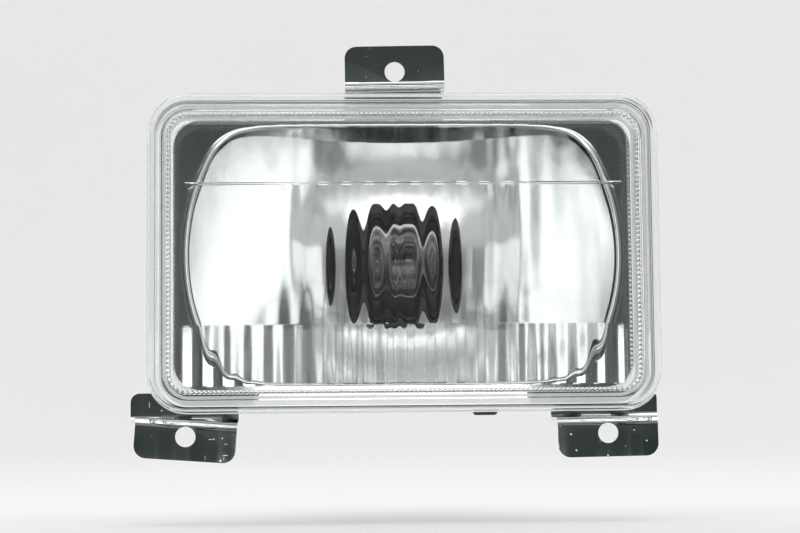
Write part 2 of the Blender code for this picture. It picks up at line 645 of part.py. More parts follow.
def plunger(slider):
    """The sprung contact: a brass pin in an insulating disc, and the spring behind it."""
    pin_front = BULB_REAR + GAP
    disc_front, disc_rear = pin_front + 0.8 * MM, pin_front + 2.4 * MM
    pin_rear = disc_rear + 1.1 * MM
    shape = turned([
        (0, pin_front), (2 * MM, pin_front), (2.3 * MM, pin_front + 0.3 * MM), (2.3 * MM, disc_rear + GAP),
        (3.2 * MM, disc_rear + GAP), (3.2 * MM, pin_rear), (0, pin_rear),
    ], 20)
    add_object("contact_plunger", shape, "brass", slider)
    disc = turned([(2.6 * MM, disc_front), (7.2 * MM, disc_front), (7.2 * MM, disc_rear),
                   (2.6 * MM, disc_rear)], 28)
    add_object("plunger_disc", disc, "black_plastic", slider)
    spring_front, spring_rear = pin_rear + GAP, BORE_REAR - GAP - BLADE_THICKNESS - GAP
    wire, coil, steps = 0.35 * MM, 2.4 * MM, 12
    count = SPRING_TURNS * steps
    path = []
    for i in range(count + 1):
        angle = 2 * math.pi * i / steps
        y = spring_front + wire + (spring_rear - spring_front - 2 * wire) * i / count
        path.append((coil * math.cos(angle), y, coil * math.sin(angle)))
    add_object("plunger_spring", tube(path, wire, 6), "spring_steel", slider)


# ---------------------------------------------------------------- bulb

def glass_profile(radius, neck, end, steps, pole_shift):
    """Half outline of the envelope, from its front pole to its open neck."""
    centre = BULB_REAR - 52.5 * MM + GLASS_RADIUS
    points = [(0, centre - radius)]
    last = math.radians(125)
    for i in range(1, steps + 1):
        angle = last * i / steps
        points.append((radius * math.sin(angle), centre - radius * math.cos(angle)))
    waist = centre + GLASS_RADIUS * 0.95
    points.append((neck + 0.6 * MM, waist + pole_shift))
    points += [(neck, waist + 4 * MM), (neck, end)]
    return points


def bulb(slider):
    neck = BASE_RADIUS - 0.6 * MM - GAP
    glass_end = BASE_FRONT + 5 * MM
    outer = glass_profile(GLASS_RADIUS, neck, glass_end, 9, 0)
    inner = glass_profile(GLASS_RADIUS - GLASS_WALL, neck - GLASS_WALL, glass_end, 9, -0.3 * MM)
    add_object("bulb_glass", turned(outer + inner[::-1], 28), "bulb_glass", slider)
    stem_front = FOCUS_Y + 11 * MM
    stem = turned([
        (0, stem_front), (1.6 * MM, stem_front + 0.4 * MM), (2 * MM, stem_front + 3 * MM),
        (2.2 * MM, stem_front + 9 * MM), (4.6 * MM, glass_end - 1.5 * MM), (5 * MM, glass_end), (0, glass_end),
    ], 16)
    add_object("bulb_stem", stem, "bulb_glass", slider)
    coil_half, coil_radius, wire = 3 * MM, 0.8 * MM, 0.16 * MM
    turns, steps = 7, 8
    path = []
    for i in range(turns * steps + 1):
        angle = 2 * math.pi * i / steps
        x = coil_half * (2 * i / (turns * steps) - 1)
        path.append((x, FOCUS_Y + coil_radius * math.cos(angle), coil_radius * math.sin(angle)))
    add_object("bulb_filament", tube(path, wire, 5), "tungsten", slider)
    for side, name in ((-1, "filament_post_left"), (1, "filament_post_right")):
        post = [
            (side * (coil_half + 0.8 * MM), FOCUS_Y - 0.4 * MM, 0),
            (side * (coil_half + 0.9 * MM), FOCUS_Y + 3 * MM, 0),
            (side * 2.8 * MM, FOCUS_Y + 7.5 * MM, 0),
            (side * 1 * MM, stem_front - GAP - 0.4 * MM, 0),
        ]
        add_object(name, tube(post, 0.3 * MM, 6), "spring_steel", slider)
    base_rear = BULB_REAR - 2 * MM
    wall = 0.6 * MM
    shell = turned([
        (BASE_RADIUS - wall, BASE_FRONT), (BASE_RADIUS, BASE_FRONT + 0.2 * MM), (BASE_RADIUS, base_rear),
        (BASE_RADIUS - 1.5 * MM, base_rear + 0.8 * MM), (BASE_RADIUS - 1.8 * MM, base_rear + 0.2 * MM),
        (BASE_RADIUS - wall, base_rear - 0.8 * MM),
    ], 32)
    base = add_object("bulb_base", shell, "tinned_brass", slider)
    for side in (-1, 1):
        pin = rod((side * (BASE_RADIUS - 0.4 * MM), PIN_PLANE, 0), (side * PIN_REACH, PIN_PLANE, 0), PIN_RADIUS, 12)
        combine(base, add_object(f"pin_{side + 1}", pin, "tinned_brass", slider), "UNION")
    seat = BASE_RADIUS - 1.8 * MM - GAP
    insulator = turned([
        (0, base_rear - 2.5 * MM), (seat, base_rear - 2.5 * MM), (seat, base_rear + 0.5 * MM),
        (2.9 * MM, base_rear + 1 * MM), (0, base_rear + 1 * MM),
    ], 24)
    add_object("base_insulator", insulator, "black_plastic", slider)
    solder = base_rear + 1 * MM + GAP
    contact = turned([
        (0, solder), (2.4 * MM, solder), (2.2 * MM, BULB_REAR - 0.3 * MM), (1.2 * MM, BULB_REAR), (0, BULB_REAR),
    ], 18)
    add_object("base_contact", contact, "tinned_brass", slider)


def build():
    clear_scene()
    lens()
    lens_seal()
    reflector()
    vent_cap()
    brackets()
    holder = add_axis("holder_axis", (0, GRIP_FRONT, 0))
    holder_gasket(holder)
    holder_body(holder)
    socket_sleeve(holder)
    terminals(holder)
    plunger(add_axis("plunger_axis", (0, BULB_REAR, 0)))
    bulb(add_axis("bulb_axis", (0, PIN_PLANE, 0)))


build()
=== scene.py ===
"""Looks of the rectangular fog lamp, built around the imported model.

Metres, +Z up. The lamp faces -Y, +X is the viewer's right, and the origin is where the optical
axis crosses the rear faces of the three bracket tabs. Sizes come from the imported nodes' boxes.
"""
import math

import bmesh
import bpy
from mathutils import Matrix, Vector


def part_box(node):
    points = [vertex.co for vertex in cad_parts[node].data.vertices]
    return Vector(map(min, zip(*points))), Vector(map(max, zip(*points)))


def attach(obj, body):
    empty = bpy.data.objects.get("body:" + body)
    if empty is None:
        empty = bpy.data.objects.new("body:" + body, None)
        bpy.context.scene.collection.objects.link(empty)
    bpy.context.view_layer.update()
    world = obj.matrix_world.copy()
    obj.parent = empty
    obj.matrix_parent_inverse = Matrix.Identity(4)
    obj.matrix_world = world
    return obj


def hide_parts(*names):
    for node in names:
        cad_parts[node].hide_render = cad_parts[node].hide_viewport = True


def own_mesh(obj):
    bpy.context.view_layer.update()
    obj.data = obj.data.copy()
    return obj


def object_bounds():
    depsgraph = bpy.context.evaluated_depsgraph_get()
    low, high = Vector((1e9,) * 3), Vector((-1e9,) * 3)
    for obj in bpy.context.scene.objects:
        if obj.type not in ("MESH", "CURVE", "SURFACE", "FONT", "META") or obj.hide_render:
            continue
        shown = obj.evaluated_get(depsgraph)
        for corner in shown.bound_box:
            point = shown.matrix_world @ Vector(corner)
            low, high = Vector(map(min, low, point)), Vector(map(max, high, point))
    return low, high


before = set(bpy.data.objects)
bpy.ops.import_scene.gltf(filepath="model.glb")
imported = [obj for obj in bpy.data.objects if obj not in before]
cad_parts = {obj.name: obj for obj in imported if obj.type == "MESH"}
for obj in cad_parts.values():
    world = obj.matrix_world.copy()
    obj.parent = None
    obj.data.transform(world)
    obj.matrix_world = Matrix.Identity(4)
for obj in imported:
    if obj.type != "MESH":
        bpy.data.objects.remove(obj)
cad_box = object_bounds()

MM = 0.001
GAP = 0.3 * MM  # clearance between neighbouring pieces
LENS_LOW, LENS_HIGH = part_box("lens")
REFLECTOR_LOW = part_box("reflector")[0]
GLASS_LOW, GLASS_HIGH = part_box("bulb_glass")
BASE_LOW, BASE_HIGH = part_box("bulb_base")
BODY_LOW, BODY_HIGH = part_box("holder_body")
GASKET_LOW, GASKET_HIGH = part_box("holder_gasket")
SEAL_LOW, SEAL_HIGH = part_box("lens_seal")

# Lens
LENS_WIDTH = LENS_HIGH.x - LENS_LOW.x
LENS_HEIGHT = LENS_HIGH.z - LENS_LOW.z
LENS_CORNER = 13 * MM
LENS_FRONT = LENS_LOW.y
SKIRT_REAR = LENS_HIGH.y
LENS_PLATE = 2.8 * MM
LENS_WALL = 2.4 * MM
LENS_EDGE = 2 * MM
TONGUE_INSET = 4.4 * MM
TONGUE_WALL = 1.8 * MM
TONGUE_SHORTFALL = 0.9 * MM  # how far the tongue stops before the skirt's rear
FLUTE_STEPS = 20
FLUTE_ZONES = (
    # bottom edge, top edge, flute count, flute pitch, flute depth before the bulb and at the sides
    (-42.5 * MM, -23.3 * MM, 22, 6.5 * MM, 0.55 * MM, 0.40 * MM),
    (-23.0 * MM, 22.0 * MM, 19, 7.4 * MM, 0.55 * MM, 0.05 * MM),
    (22.3 * MM, 42.5 * MM, 19, 7.4 * MM, 0.25 * MM, 0.06 * MM),
)
RIDGE_Z = 22.15 * MM
RIDGE_RADIUS = 0.55 * MM
FLUTES_FULL = 30 * MM
FLUTES_FADED = 50 * MM
KNURL_PITCH = 1.5 * MM
KNURL_STEPS = 6

# Reflector
BEZEL_WIDTH = 150 * MM
BEZEL_HEIGHT = 88.4 * MM
BEZEL_CORNER = 9 * MM
BEZEL_FRONT = REFLECTOR_LOW.y
BEZEL_WALL = 2.5 * MM
FOCAL_LENGTH = 25 * MM
BOWL_RADIUS = 73 * MM
BOWL_WALL = 3 * MM
LIP = 2.0 * MM
CORNER_EASE = 14
SHELF_Z = 42 * MM
SHELF_WALL = 2 * MM
VERTEX_Y = BEZEL_FRONT + BOWL_RADIUS ** 2 / (4 * FOCAL_LENGTH)
FOCUS_Y = VERTEX_Y - FOCAL_LENGTH
FLANGE_FRONT = SKIRT_REAR + 0.7 * MM
FLANGE_REAR = FLANGE_FRONT + 2.2 * MM
FLANGE_INSET = 0.7 * MM
NECK_RADIUS = 24.6 * MM
NECK_REAR = VERTEX_Y + 4.6 * MM
NECK_LIP = 2.4 * MM
NECK_BORE = 19.6 * MM
CAVITY_RADIUS = 21.8 * MM

# Brackets
STRIP = 1.5 * MM
TAB_WIDTH = 32.5 * MM
TAB_CORNER = 4 * MM
LEDGE_Z = LENS_HEIGHT / 2 + 2.5 * MM
BEND_RADIUS = 2.6 * MM
HOLE_RADIUS = 3.25 * MM
BRACKET_SHIFT = -2.5 * MM
HOLE_SPACING = 136 * MM
FOOT_EDGE_Z = 44.4 * MM
FOOT_CORNER = 3 * MM
FOOT_FLARE = 3 * MM
BOSS_REAR = FLANGE_REAR + 7.6 * MM
BOSS_RADIUS = 3 * MM
SCREW_Z = 47.3 * MM
SCREW_RADIUS = 1.3 * MM
SCREW_HEAD_RADIUS = 2.7 * MM
SIDE_SCREWS = (57 * MM, 73 * MM)
TOP_SCREW_OFFSET = 9 * MM
BRACKETS = (
    # place, hole x, hole z, margin beyond the hole, tilt in degrees, side that the foot flares to
    ("top", BRACKET_SHIFT, 59.4 * MM, 8.6 * MM, 0.9, 0),
    ("left", BRACKET_SHIFT - HOLE_SPACING / 2, -58.6 * MM, 7.6 * MM, -4.2, -1),
    ("right", BRACKET_SHIFT + HOLE_SPACING / 2, -58.6 * MM, 7.6 * MM, 0.8, 1),
)

# Holder
BODY_RADIUS = 19.3 * MM
BODY_WALL = 1.8 * MM
SOCKET_BORE = 9.4 * MM
HUB_RADIUS = 11.2 * MM
GRIP_RADIUS = 27 * MM
GRIP_FRONT = NECK_REAR + 2.3 * MM
GRIP_REAR = GRIP_FRONT + 3 * MM
HOUSING_RADIUS = 12.5 * MM
HOUSING_REAR = BODY_HIGH.y - 10 * MM
SOCKET_FLOOR = HOUSING_REAR - 1.8 * MM
LOCK_TABS = 3
GRIP_KNOBS = 4
HOUSING_RIBS = 24
BLADE_OFFSET = 4 * MM

# Bulb
BASE_RADIUS = (BASE_HIGH.z - BASE_LOW.z) / 2
GLASS_WALL = 0.9 * MM
PIN_TO_FILAMENT = 31.8 * MM


# ---------------------------------------------------------------- materials

def plain(name, **values):
    """A material whose Principled sockets have the given values; underscores stand for spaces."""
    made = bpy.data.materials.new(name)
    made.use_nodes = True
    shader = made.node_tree.nodes["Principled BSDF"]
    for socket, value in values.items():
        shader.inputs[socket.replace("_", " ")].default_value = value
    return made


def texture_over(made, kind, stretch=(1, 1, 1), turn=(0, 0, 0)):
    """A texture node over the piece's own coordinates, stretched and turned."""
    nodes, links = made.node_tree.nodes, made.node_tree.links
    coords = nodes.new("ShaderNodeTexCoord")
    mapping = nodes.new("ShaderNodeMapping")
    mapping.inputs["Scale"].default_value = stretch
    mapping.inputs["Rotation"].default_value = turn
    texture = nodes.new(kind)
    links.new(coords.outputs["Object"], mapping.inputs["Vector"])
    links.new(mapping.outputs["Vector"], texture.inputs["Vector"])
    return texture


def pattern(made, scale, detail=4.0, stretch=(1, 1, 1), turn=(0, 0, 0), rough=0.5):
    """Noise from 0 to 1."""
    texture = texture_over(made, "ShaderNodeTexNoise", stretch, turn)
    texture.inputs["Scale"].default_value = scale
    texture.inputs["Detail"].default_value = detail
    texture.inputs["Roughness"].default_value = rough
    return texture.outputs["Fac"]


def spots(made, size, scale, stretch=(1, 1, 1), turn=(0, 0, 0)):
    """Scattered marks of a size: 1 in the middle of each, falling to 0 at its edge."""
    texture = texture_over(made, "ShaderNodeTexVoronoi", stretch, turn)
    texture.inputs["Scale"].default_value = scale
    return ranged(made, texture.outputs["Distance"], 0.0, size, 1.0, 0.0)


def ranged(made, source, low, high, to_low, to_high):
    """A source stretched so that low to high becomes to_low to to_high, held at both ends."""
    node = made.node_tree.nodes.new("ShaderNodeMapRange")
    for socket, value in (("From Min", low), ("From Max", high), ("To Min", to_low), ("To Max", to_high)):
        node.inputs[socket].default_value = value
    made.node_tree.links.new(source, node.inputs["Value"])
    return node.outputs["Result"]


def blended(made, factor, first, second):
    """A colour that goes from first to second with a factor; either may be another socket."""
    node = made.node_tree.nodes.new("ShaderNodeMix")
    node.data_type = "RGBA"
    made.node_tree.links.new(factor, node.inputs["Factor"])
    for socket, value in ((node.inputs["A"], first), (node.inputs["B"], second)):
        pick = [item for item in node.inputs if item.name == socket.name and item.type == "RGBA"][0]
        if isinstance(value, tuple):
            pick.default_value = (*value, 1)
        else:
            made.node_tree.links.new(value, pick)
    return [item for item in node.outputs if item.type == "RGBA"][0]


def mottled(made, source, low, high, first, second):
    """A colour that goes from first to second as a source goes from low to high."""
    return blended(made, ranged(made, source, low, high, 0, 1), first, second)


def worst(made, first, second):
    """The larger of two values."""
    node = made.node_tree.nodes.new("ShaderNodeMath")
    node.operation = "MAXIMUM"
    made.node_tree.links.new(first, node.inputs[0])
    made.node_tree.links.new(second, node.inputs[1])
    return node.outputs["Value"]


def surface(made, colour=None, roughness=None, bumps=()):
    """Plug colour, roughness and a chain of bumps (source, strength, distance) into the shader."""
    tree = made.node_tree
    shader = tree.nodes["Principled BSDF"]
    if colour is not None:
        tree.links.new(colour, shader.inputs["Base Color"])
    if roughness is not None:
        tree.links.new(roughness, shader.inputs["Roughness"])
    normal = None
    for source, strength, distance in bumps:
        bump = tree.nodes.new("ShaderNodeBump")
        bump.inputs["Strength"].default_value = strength
        bump.inputs["Distance"].default_value = distance
        tree.links.new(source, bump.inputs["Height"])
        if normal is not None:
            tree.links.new(normal, bump.inputs["Normal"])
        normal = bump.outputs["Normal"]
    if normal is not None:
        tree.links.new(normal, shader.inputs["Normal"])
    return made


def clear_plastic():
    """Moulded clear plastic: faint flow waves, a few hairline scratches and a trace of dust."""
    made = plain("clear_plastic", Metallic=0.0, Transmission_Weight=1.0, IOR=1.49)
    flow = pattern(made, 55, 2.0, (1, 1, 2.2))
    hair = spots(made, 0.045, 60, (1, 1, 16), (0, 0.5, 0))
    dust = spots(made, 0.05, 260)
    marks = worst(made, hair, dust)
    tint = blended(made, flow, (0.975, 0.985, 0.98), (0.993, 0.996, 0.994))
    return surface(made, tint, ranged(made, marks, 0, 1, 0.0, 0.12), ((flow, 0.05, 0.0005),))


def adhesive():
    """A bead of pale sealant, slightly yellowed, with a faint glow added to match the photograph."""
    made = plain("adhesive", Metallic=0.0, Subsurface_Weight=0.2, Subsurface_Radius=(0.002, 0.002, 0.0015),
                 Emission_Strength=0.35, Emission_Color=(0.95, 0.98, 0.97, 1))
    lumps = pattern(made, 220, 3.0)
    shade = mottled(made, lumps, 0.35, 0.7, (0.80, 0.80, 0.76), (0.90, 0.90, 0.87))
    return surface(made, shade, ranged(made, lumps, 0.3, 0.7, 0.35, 0.6), ((lumps, 0.4, 0.0003),))


def mirror_plastic():
    """Vacuum-metallised plastic: bright, with a breath of haze, specks and a gentle ripple."""
    made = plain("mirror_plastic", Metallic=1.0)
    haze = pattern(made, 38, 5.0)
    ripple = pattern(made, 95, 1.0)
    specks = spots(made, 0.06, 190)
    shade = mottled(made, haze, 0.35, 0.7, (0.86, 0.88, 0.87), (0.90, 0.91, 0.90))
    shade = blended(made, specks, shade, (0.62, 0.63, 0.62))
    rough = worst(made, ranged(made, haze, 0.35, 0.75, 0.09, 0.13), ranged(made, specks, 0, 1, 0.0, 0.25))
    return surface(made, shade, rough, ((ripple, 0.04, 0.0006),))


def shell_plastic():
    """The bare moulded back of the reflector: mid grey, mottled, with fine grain."""
    made = plain("shell_plastic", Metallic=0.0)
    cloud = pattern(made, 30, 5.0, rough=0.6)
    grain = pattern(made, 900, 2.0)
    shade = mottled(made, cloud, 0.3, 0.7, (0.235, 0.24, 0.24), (0.31, 0.315, 0.31))
    dust = spots(made, 0.07, 220)
    shade = blended(made, dust, shade, (0.42, 0.41, 0.39))
    return surface(made, shade, ranged(made, cloud, 0.3, 0.7, 0.42, 0.6),
                   ((grain, 0.25, 0.00008), (cloud, 0.15, 0.0006)))


def flange_plastic():
    """The flange's front face, wiped with sealant, with a faint glow added to match the photograph."""
    made = plain("flange_plastic", Metallic=0.0, Emission_Strength=0.45, Emission_Color=(0.93, 0.98, 0.98, 1))
    wipe = pattern(made, 120, 4.0)
    shade = mottled(made, wipe, 0.35, 0.7, (0.84, 0.85, 0.83), (0.92, 0.93, 0.92))
    return surface(made, shade, ranged(made, wipe, 0.3, 0.7, 0.3, 0.5), ((wipe, 0.2, 0.0003),))


def chromed_steel():
    """Bright plated strip: long wipe marks, short scratches, pinholes and a slight roll wave."""
    made = plain("chromed_steel", Metallic=1.0)
    wave = pattern(made, 42, 1.0)
    wipe = pattern(made, 160, 3.0, (1, 1, 0.06), (0, 0.7, 0))
    nick_a = spots(made, 0.08, 75, (1, 1, 10), (0, 0.9, 0))
    nick_b = spots(made, 0.07, 60, (11, 1, 1), (0, 0.35, 0))
    pits = spots(made, 0.10, 300)
    marks = worst(made, worst(made, nick_a, nick_b), pits)
    shade = mottled(made, wipe, 0.35, 0.7, (0.74, 0.77, 0.75), (0.82, 0.84, 0.82))
    rough = worst(made, ranged(made, wipe, 0.4, 0.75, 0.03, 0.10), ranged(made, marks, 0, 1, 0.0, 0.45))
    return surface(made, shade, rough, ((wave, 0.10, 0.0009), (marks, 0.25, 0.0001)))


def metal(name, dark, light, rough_low, rough_high, grain_scale=180.0, tarnish=0.0):
    """A worked metal with tool lines, blotches and optional tarnish."""
    made = plain(name, Metallic=1.0)
    blotch = pattern(made, 70, 5.0, rough=0.6)
    lines = pattern(made, grain_scale, 3.0, (1, 9, 1))
    fine = pattern(made, 1400, 2.0)
    shade = mottled(made, blotch, 0.3, 0.7, dark, light)
    if tarnish:
        stain = ranged(made, pattern(made, 240, 6.0, rough=0.7), 0.55, 0.75, 0.0, tarnish)
        shade = blended(made, stain, shade, (dark[0] * 0.45, dark[1] * 0.4, dark[2] * 0.35))
    rough = ranged(made, lines, 0.3, 0.7, rough_low, rough_high)
    return surface(made, shade, rough, ((lines, 0.12, 0.00008), (fine, 0.10, 0.00003)))


def black_moulding(name, shade_low, shade_high, rough_low, rough_high, grain=1100.0):
    """Black plastic or rubber with a fine skin, uneven gloss and settled dust."""
    made = plain(name, Metallic=0.0)
    cloud = pattern(made, 60, 4.0)
    skin = pattern(made, grain, 2.0)
    dust = ranged(made, pattern(made, 320, 6.0, rough=0.7), 0.58, 0.78, 0.0, 0.30)
    shade = mottled(made, cloud, 0.3, 0.7, shade_low, shade_high)
    shade = blended(made, dust, shade, (0.20, 0.19, 0.18))
    rough = ranged(made, cloud, 0.3, 0.7, rough_low, rough_high)
    return surface(made, shade, rough, ((skin, 0.30, 0.00006), (cloud, 0.10, 0.0004)))


def bulb_glass_material():
    """Thin blown glass with slow waves and a faint smear."""
    made = plain("bulb_glass", Metallic=0.0, Transmission_Weight=1.0, IOR=1.5)
    wave = pattern(made, 130, 1.5)
    smear = ranged(made, pattern(made, 90, 5.0), 0.5, 0.8, 0.0, 0.05)
    tint = blended(made, wave, (0.97, 0.98, 0.975), (0.995, 0.995, 0.99))
    return surface(made, tint, smear, ((wave, 0.08, 0.0004),))


MATERIALS = {
    "clear_plastic": clear_plastic(),
    "adhesive": adhesive(),
    "mirror_plastic": mirror_plastic(),
    "shell_plastic": shell_plastic(),
    "flange_plastic": flange_plastic(),
    "chromed_steel": chromed_steel(),
    "zinc_steel": metal(
        "zinc_steel", (0.50, 0.51, 0.50), (0.66, 0.66, 0.62), 0.24, 0.42, 200.0, 0.5),
    "rubber": black_moulding(
        "rubber", (0.018, 0.018, 0.018), (0.035, 0.034, 0.033), 0.62, 0.85, 700.0),
    "black_plastic": black_moulding(
        "black_plastic", (0.040, 0.037, 0.028), (0.070, 0.064, 0.048), 0.30, 0.5),
    "bulb_glass": bulb_glass_material(),
    "brass": metal("brass", (0.62, 0.44, 0.18), (0.78, 0.60, 0.28), 0.22, 0.40, 260.0, 0.5),
    "tinned_brass": metal("tinned_brass", (0.60, 0.58, 0.52), (0.74, 0.72, 0.66), 0.25, 0.42, 240.0, 0.6),
    "tungsten": metal("tungsten", (0.20, 0.19, 0.19), (0.32, 0.31, 0.30), 0.40, 0.60),
    "spring_steel": metal("spring_steel", (0.40, 0.40, 0.41), (0.52, 0.52, 0.52), 0.25, 0.42),
}


# ---------------------------------------------------------------- mesh helpers

def put(name, data):
    """A new object in the scene."""
    made = bpy.data.objects.new(name, data)
    bpy.context.scene.collection.objects.link(made)
    return made


def finish_object(name, shape, looks, crease=30):
    """Turn a bmesh into an outward-facing object, smooth apart from edges sharper than crease."""
    bmesh.ops.recalc_face_normals(shape, faces=shape.faces)
    if shape.calc_volume(signed=True) < 0:
        bmesh.ops.reverse_faces(shape, faces=shape.faces)
    mesh = bpy.data.meshes.new(name)
    shape.to_mesh(mesh)
    shape.free()
    made = put(name, mesh)
    for look in looks:
        mesh.materials.append(MATERIALS[look])
    mesh.shade_smooth()
    mesh.set_sharp_from_angle(angle=math.radians(crease))
    return made


def apply_modifiers(target, crease=30):
    """Replace a piece's mesh by what its modifiers make of it."""
    depsgraph = bpy.context.evaluated_depsgraph_get()
    mesh = bpy.data.meshes.new_from_object(target.evaluated_get(depsgraph))
    mesh.name = target.name
    target.modifiers.clear()
    target.data = mesh
    mesh.shade_smooth()
    mesh.set_sharp_from_angle(angle=math.radians(crease))
    return target


def combine(target, shapes, operation, look_index=0, crease=30):
    """Join shapes on or cut them away, one after another, and apply the result."""
    for shape in shapes:
        for face in shape.faces:
            face.material_index = look_index
        tool = finish_object(target.name + "_tool", shape, [])
        for look in target.data.materials:
            tool.data.materials.append(look)
        step = target.modifiers.new("step", "BOOLEAN")
        step.operation = operation
        step.solver = "EXACT"
        step.object = tool
        apply_modifiers(target, crease)
        bpy.data.objects.remove(tool, do_unlink=True)
    return target


def soften(target, width, segments=3, angle=40, crease=30):
    """Round every sharp edge by a small width."""
    step = target.modifiers.new("soften", "BEVEL")
    step.width = width
    step.segments = segments
    step.limit_method = "ANGLE"
    step.angle_limit = math.radians(angle)
    step.harden_normals = False
    return apply_modifiers(target, crease)


def loft(loops, ring=False, looks=None):
    """Join loops of equal length into a solid with flat ends, or into a ring."""
    shape = bmesh.new()
    rows = [[shape.verts.new(point) for point in loop] for loop in loops]
    pairs = list(zip(rows, rows[1:]))
    if ring:
        pairs.append((rows[-1], rows[0]))
    else:
        shape.faces.new(rows[0])
        shape.faces.new(rows[-1])
    count = len(loops[0])
    for band, (near, far) in enumerate(pairs):
        for i in range(count):
            j = (i + 1) % count
            face = shape.faces.new((near[i], near[j], far[j], far[i]))
            if looks:
                face.material_index = looks[band]
    return shape


def turned(profile, steps, centre=(0, 0)):
    """Turn a profile of (radius, y) points about a line along Y; ends on the line are poles."""
    shape = bmesh.new()
    rows = []
    for radius, y in profile:
        if radius < 1e-7:
            rows.append([shape.verts.new((centre[0], y, centre[1]))])
            continue
        row = []
        for i in range(steps):
            angle = 2 * math.pi * i / steps
            x = centre[0] + radius * math.cos(angle)
            row.append(shape.verts.new((x, y, centre[1] + radius * math.sin(angle))))
        rows.append(row)
    pairs = list(zip(rows, rows[1:]))
    if len(rows[0]) > 1 and len(rows[-1]) > 1:
        pairs.append((rows[-1], rows[0]))
    for near, far in pairs:
        if len(near) == 1 and len(far) == 1:
            continue
        for i in range(steps):
            j = (i + 1) % steps
            corners = [near[i % len(near)], near[j % len(near)], far[j % len(far)], far[i % len(far)]]
            shape.faces.new(list(dict.fromkeys(corners)))
    return shape


def rounded_rectangle(width, height, corner, y, steps=14):
    """A loop in the plane at y, about the optical axis."""
    points = []
    for turn, (side_x, side_z) in enumerate(((1, 1), (-1, 1), (-1, -1), (1, -1))):
        for i in range(steps + 1):
            angle = math.pi / 2 * (turn + i / steps)
            x = side_x * (width / 2 - corner) + corner * math.cos(angle)
            z = side_z * (height / 2 - corner) + corner * math.sin(angle)
            points.append((x, y, z))
    return points


def inset_loop(inset, y):
    """The lens outline moved inwards by a distance."""
    return rounded_rectangle(LENS_WIDTH - 2 * inset, LENS_HEIGHT - 2 * inset, LENS_CORNER - inset, y)


def block(low, high):
    """A box between two corners."""
    shape = bmesh.new()
    bmesh.ops.create_cube(shape, size=1)
    bmesh.ops.scale(shape, vec=[high[i] - low[i] for i in range(3)], verts=shape.verts)
    bmesh.ops.translate(shape, vec=[(high[i] + low[i]) / 2 for i in range(3)], verts=shape.verts)
    return shape


def rod(start, end, radius, steps=32):
    """A cylinder between two points."""
    start, end = Vector(start), Vector(end)
    shape = bmesh.new()
    bmesh.ops.create_cone(shape, cap_ends=True, segments=steps, radius1=radius, radius2=radius,
                          depth=(end - start).length)
    turn = (end - start).to_track_quat("Z", "Y").to_matrix().to_4x4()
    bmesh.ops.transform(shape, matrix=Matrix.Translation((start + end) / 2) @ turn, verts=shape.verts)
    return shape


def tube(path, radius, sides=12):
    """A round wire with flat ends along a list of points."""
    points = [Vector(point) for point in path]
    loops = []
    side = None
    for i, point in enumerate(points):
        along = (points[min(i + 1, len(points) - 1)] - points[max(i - 1, 0)]).normalized()
        if side is None:
            side = along.orthogonal().normalized()
        side = (side - along * side.dot(along)).normalized()
        up = along.cross(side)
        angles = [2 * math.pi * k / sides for k in range(sides)]
        loops.append([point + radius * (math.cos(a) * side + math.sin(a) * up) for a in angles])
    return loft(loops)


def quarter(start, end, steps=6, bulge=1):
    """A quarter circle from start to end that leaves along the first axis, or the second if bulge < 0."""
    points = []
    for i in range(steps + 1):
        angle = math.pi / 2 * i / steps
        if bulge > 0:
            a, b = math.sin(angle), 1 - math.cos(angle)
        else:
            a, b = 1 - math.cos(angle), math.sin(angle)
        points.append((start[0] + (end[0] - start[0]) * a, start[1] + (end[1] - start[1]) * b))
    return points


def add(name, shape, look, body, *nodes, crease=30):
    """A piece of one look on a body, in place of the named nodes."""
    return place(finish_object(name, shape, [look], crease), body, look, *nodes)


def place(made, body, slot, *nodes):
    """Put a finished piece on a body, in place of the named nodes."""
    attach(made, body)
    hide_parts(*nodes)
    return made


# ---------------------------------------------------------------- lens and seal

def lens():
    """The clear lens: a tray with a skirt and a tongue, then the flutes, ridge and knurled band."""
    plate_rear = LENS_FRONT + LENS_PLATE
    tongue_end = SKIRT_REAR - TONGUE_SHORTFALL
    round_edge = quarter((0, LENS_FRONT + LENS_EDGE), (LENS_EDGE, LENS_FRONT), 8, -1)
    tip = 0.35 * MM
    loops = [inset_loop(inset, y) for inset, y in round_edge]
    loops += [inset_loop(LENS_EDGE + 1.5 * MM, LENS_FRONT)]
    loops += [
        inset_loop(TONGUE_INSET + TONGUE_WALL, LENS_FRONT),
        inset_loop(TONGUE_INSET + TONGUE_WALL, tongue_end - tip),
        inset_loop(TONGUE_INSET + TONGUE_WALL - tip, tongue_end),
        inset_loop(TONGUE_INSET + tip, tongue_end),
        inset_loop(TONGUE_INSET, tongue_end - tip),
        inset_loop(TONGUE_INSET, plate_rear),
        inset_loop(LENS_WALL, plate_rear),
        inset_loop(LENS_WALL, SKIRT_REAR - tip),
        inset_loop(LENS_WALL - tip, SKIRT_REAR),
        inset_loop(tip, SKIRT_REAR),
        inset_loop(0, SKIRT_REAR - tip),
    ]
    tray = finish_object("clear_lens", loft(loops, ring=True), ["clear_plastic"], 15)
    inner = TONGUE_INSET + TONGUE_WALL - 0.4 * MM
    pane = loft([inset_loop(inner, LENS_FRONT), inset_loop(inner, plate_rear)])
    ridge_end = FLUTE_ZONES[1][2] * FLUTE_ZONES[1][3] / 2
    ridge = rod((-ridge_end, plate_rear, RIDGE_Z), (ridge_end, plate_rear, RIDGE_Z), RIDGE_RADIUS, 24)
    tools = [pane] + [fluted_pad(*zone) for zone in FLUTE_ZONES] + [knurl_ring(), ridge]
    combine(tray, tools, "UNION", 0, 15)
    return place(tray, "lamp", "clear_plastic", "lens")


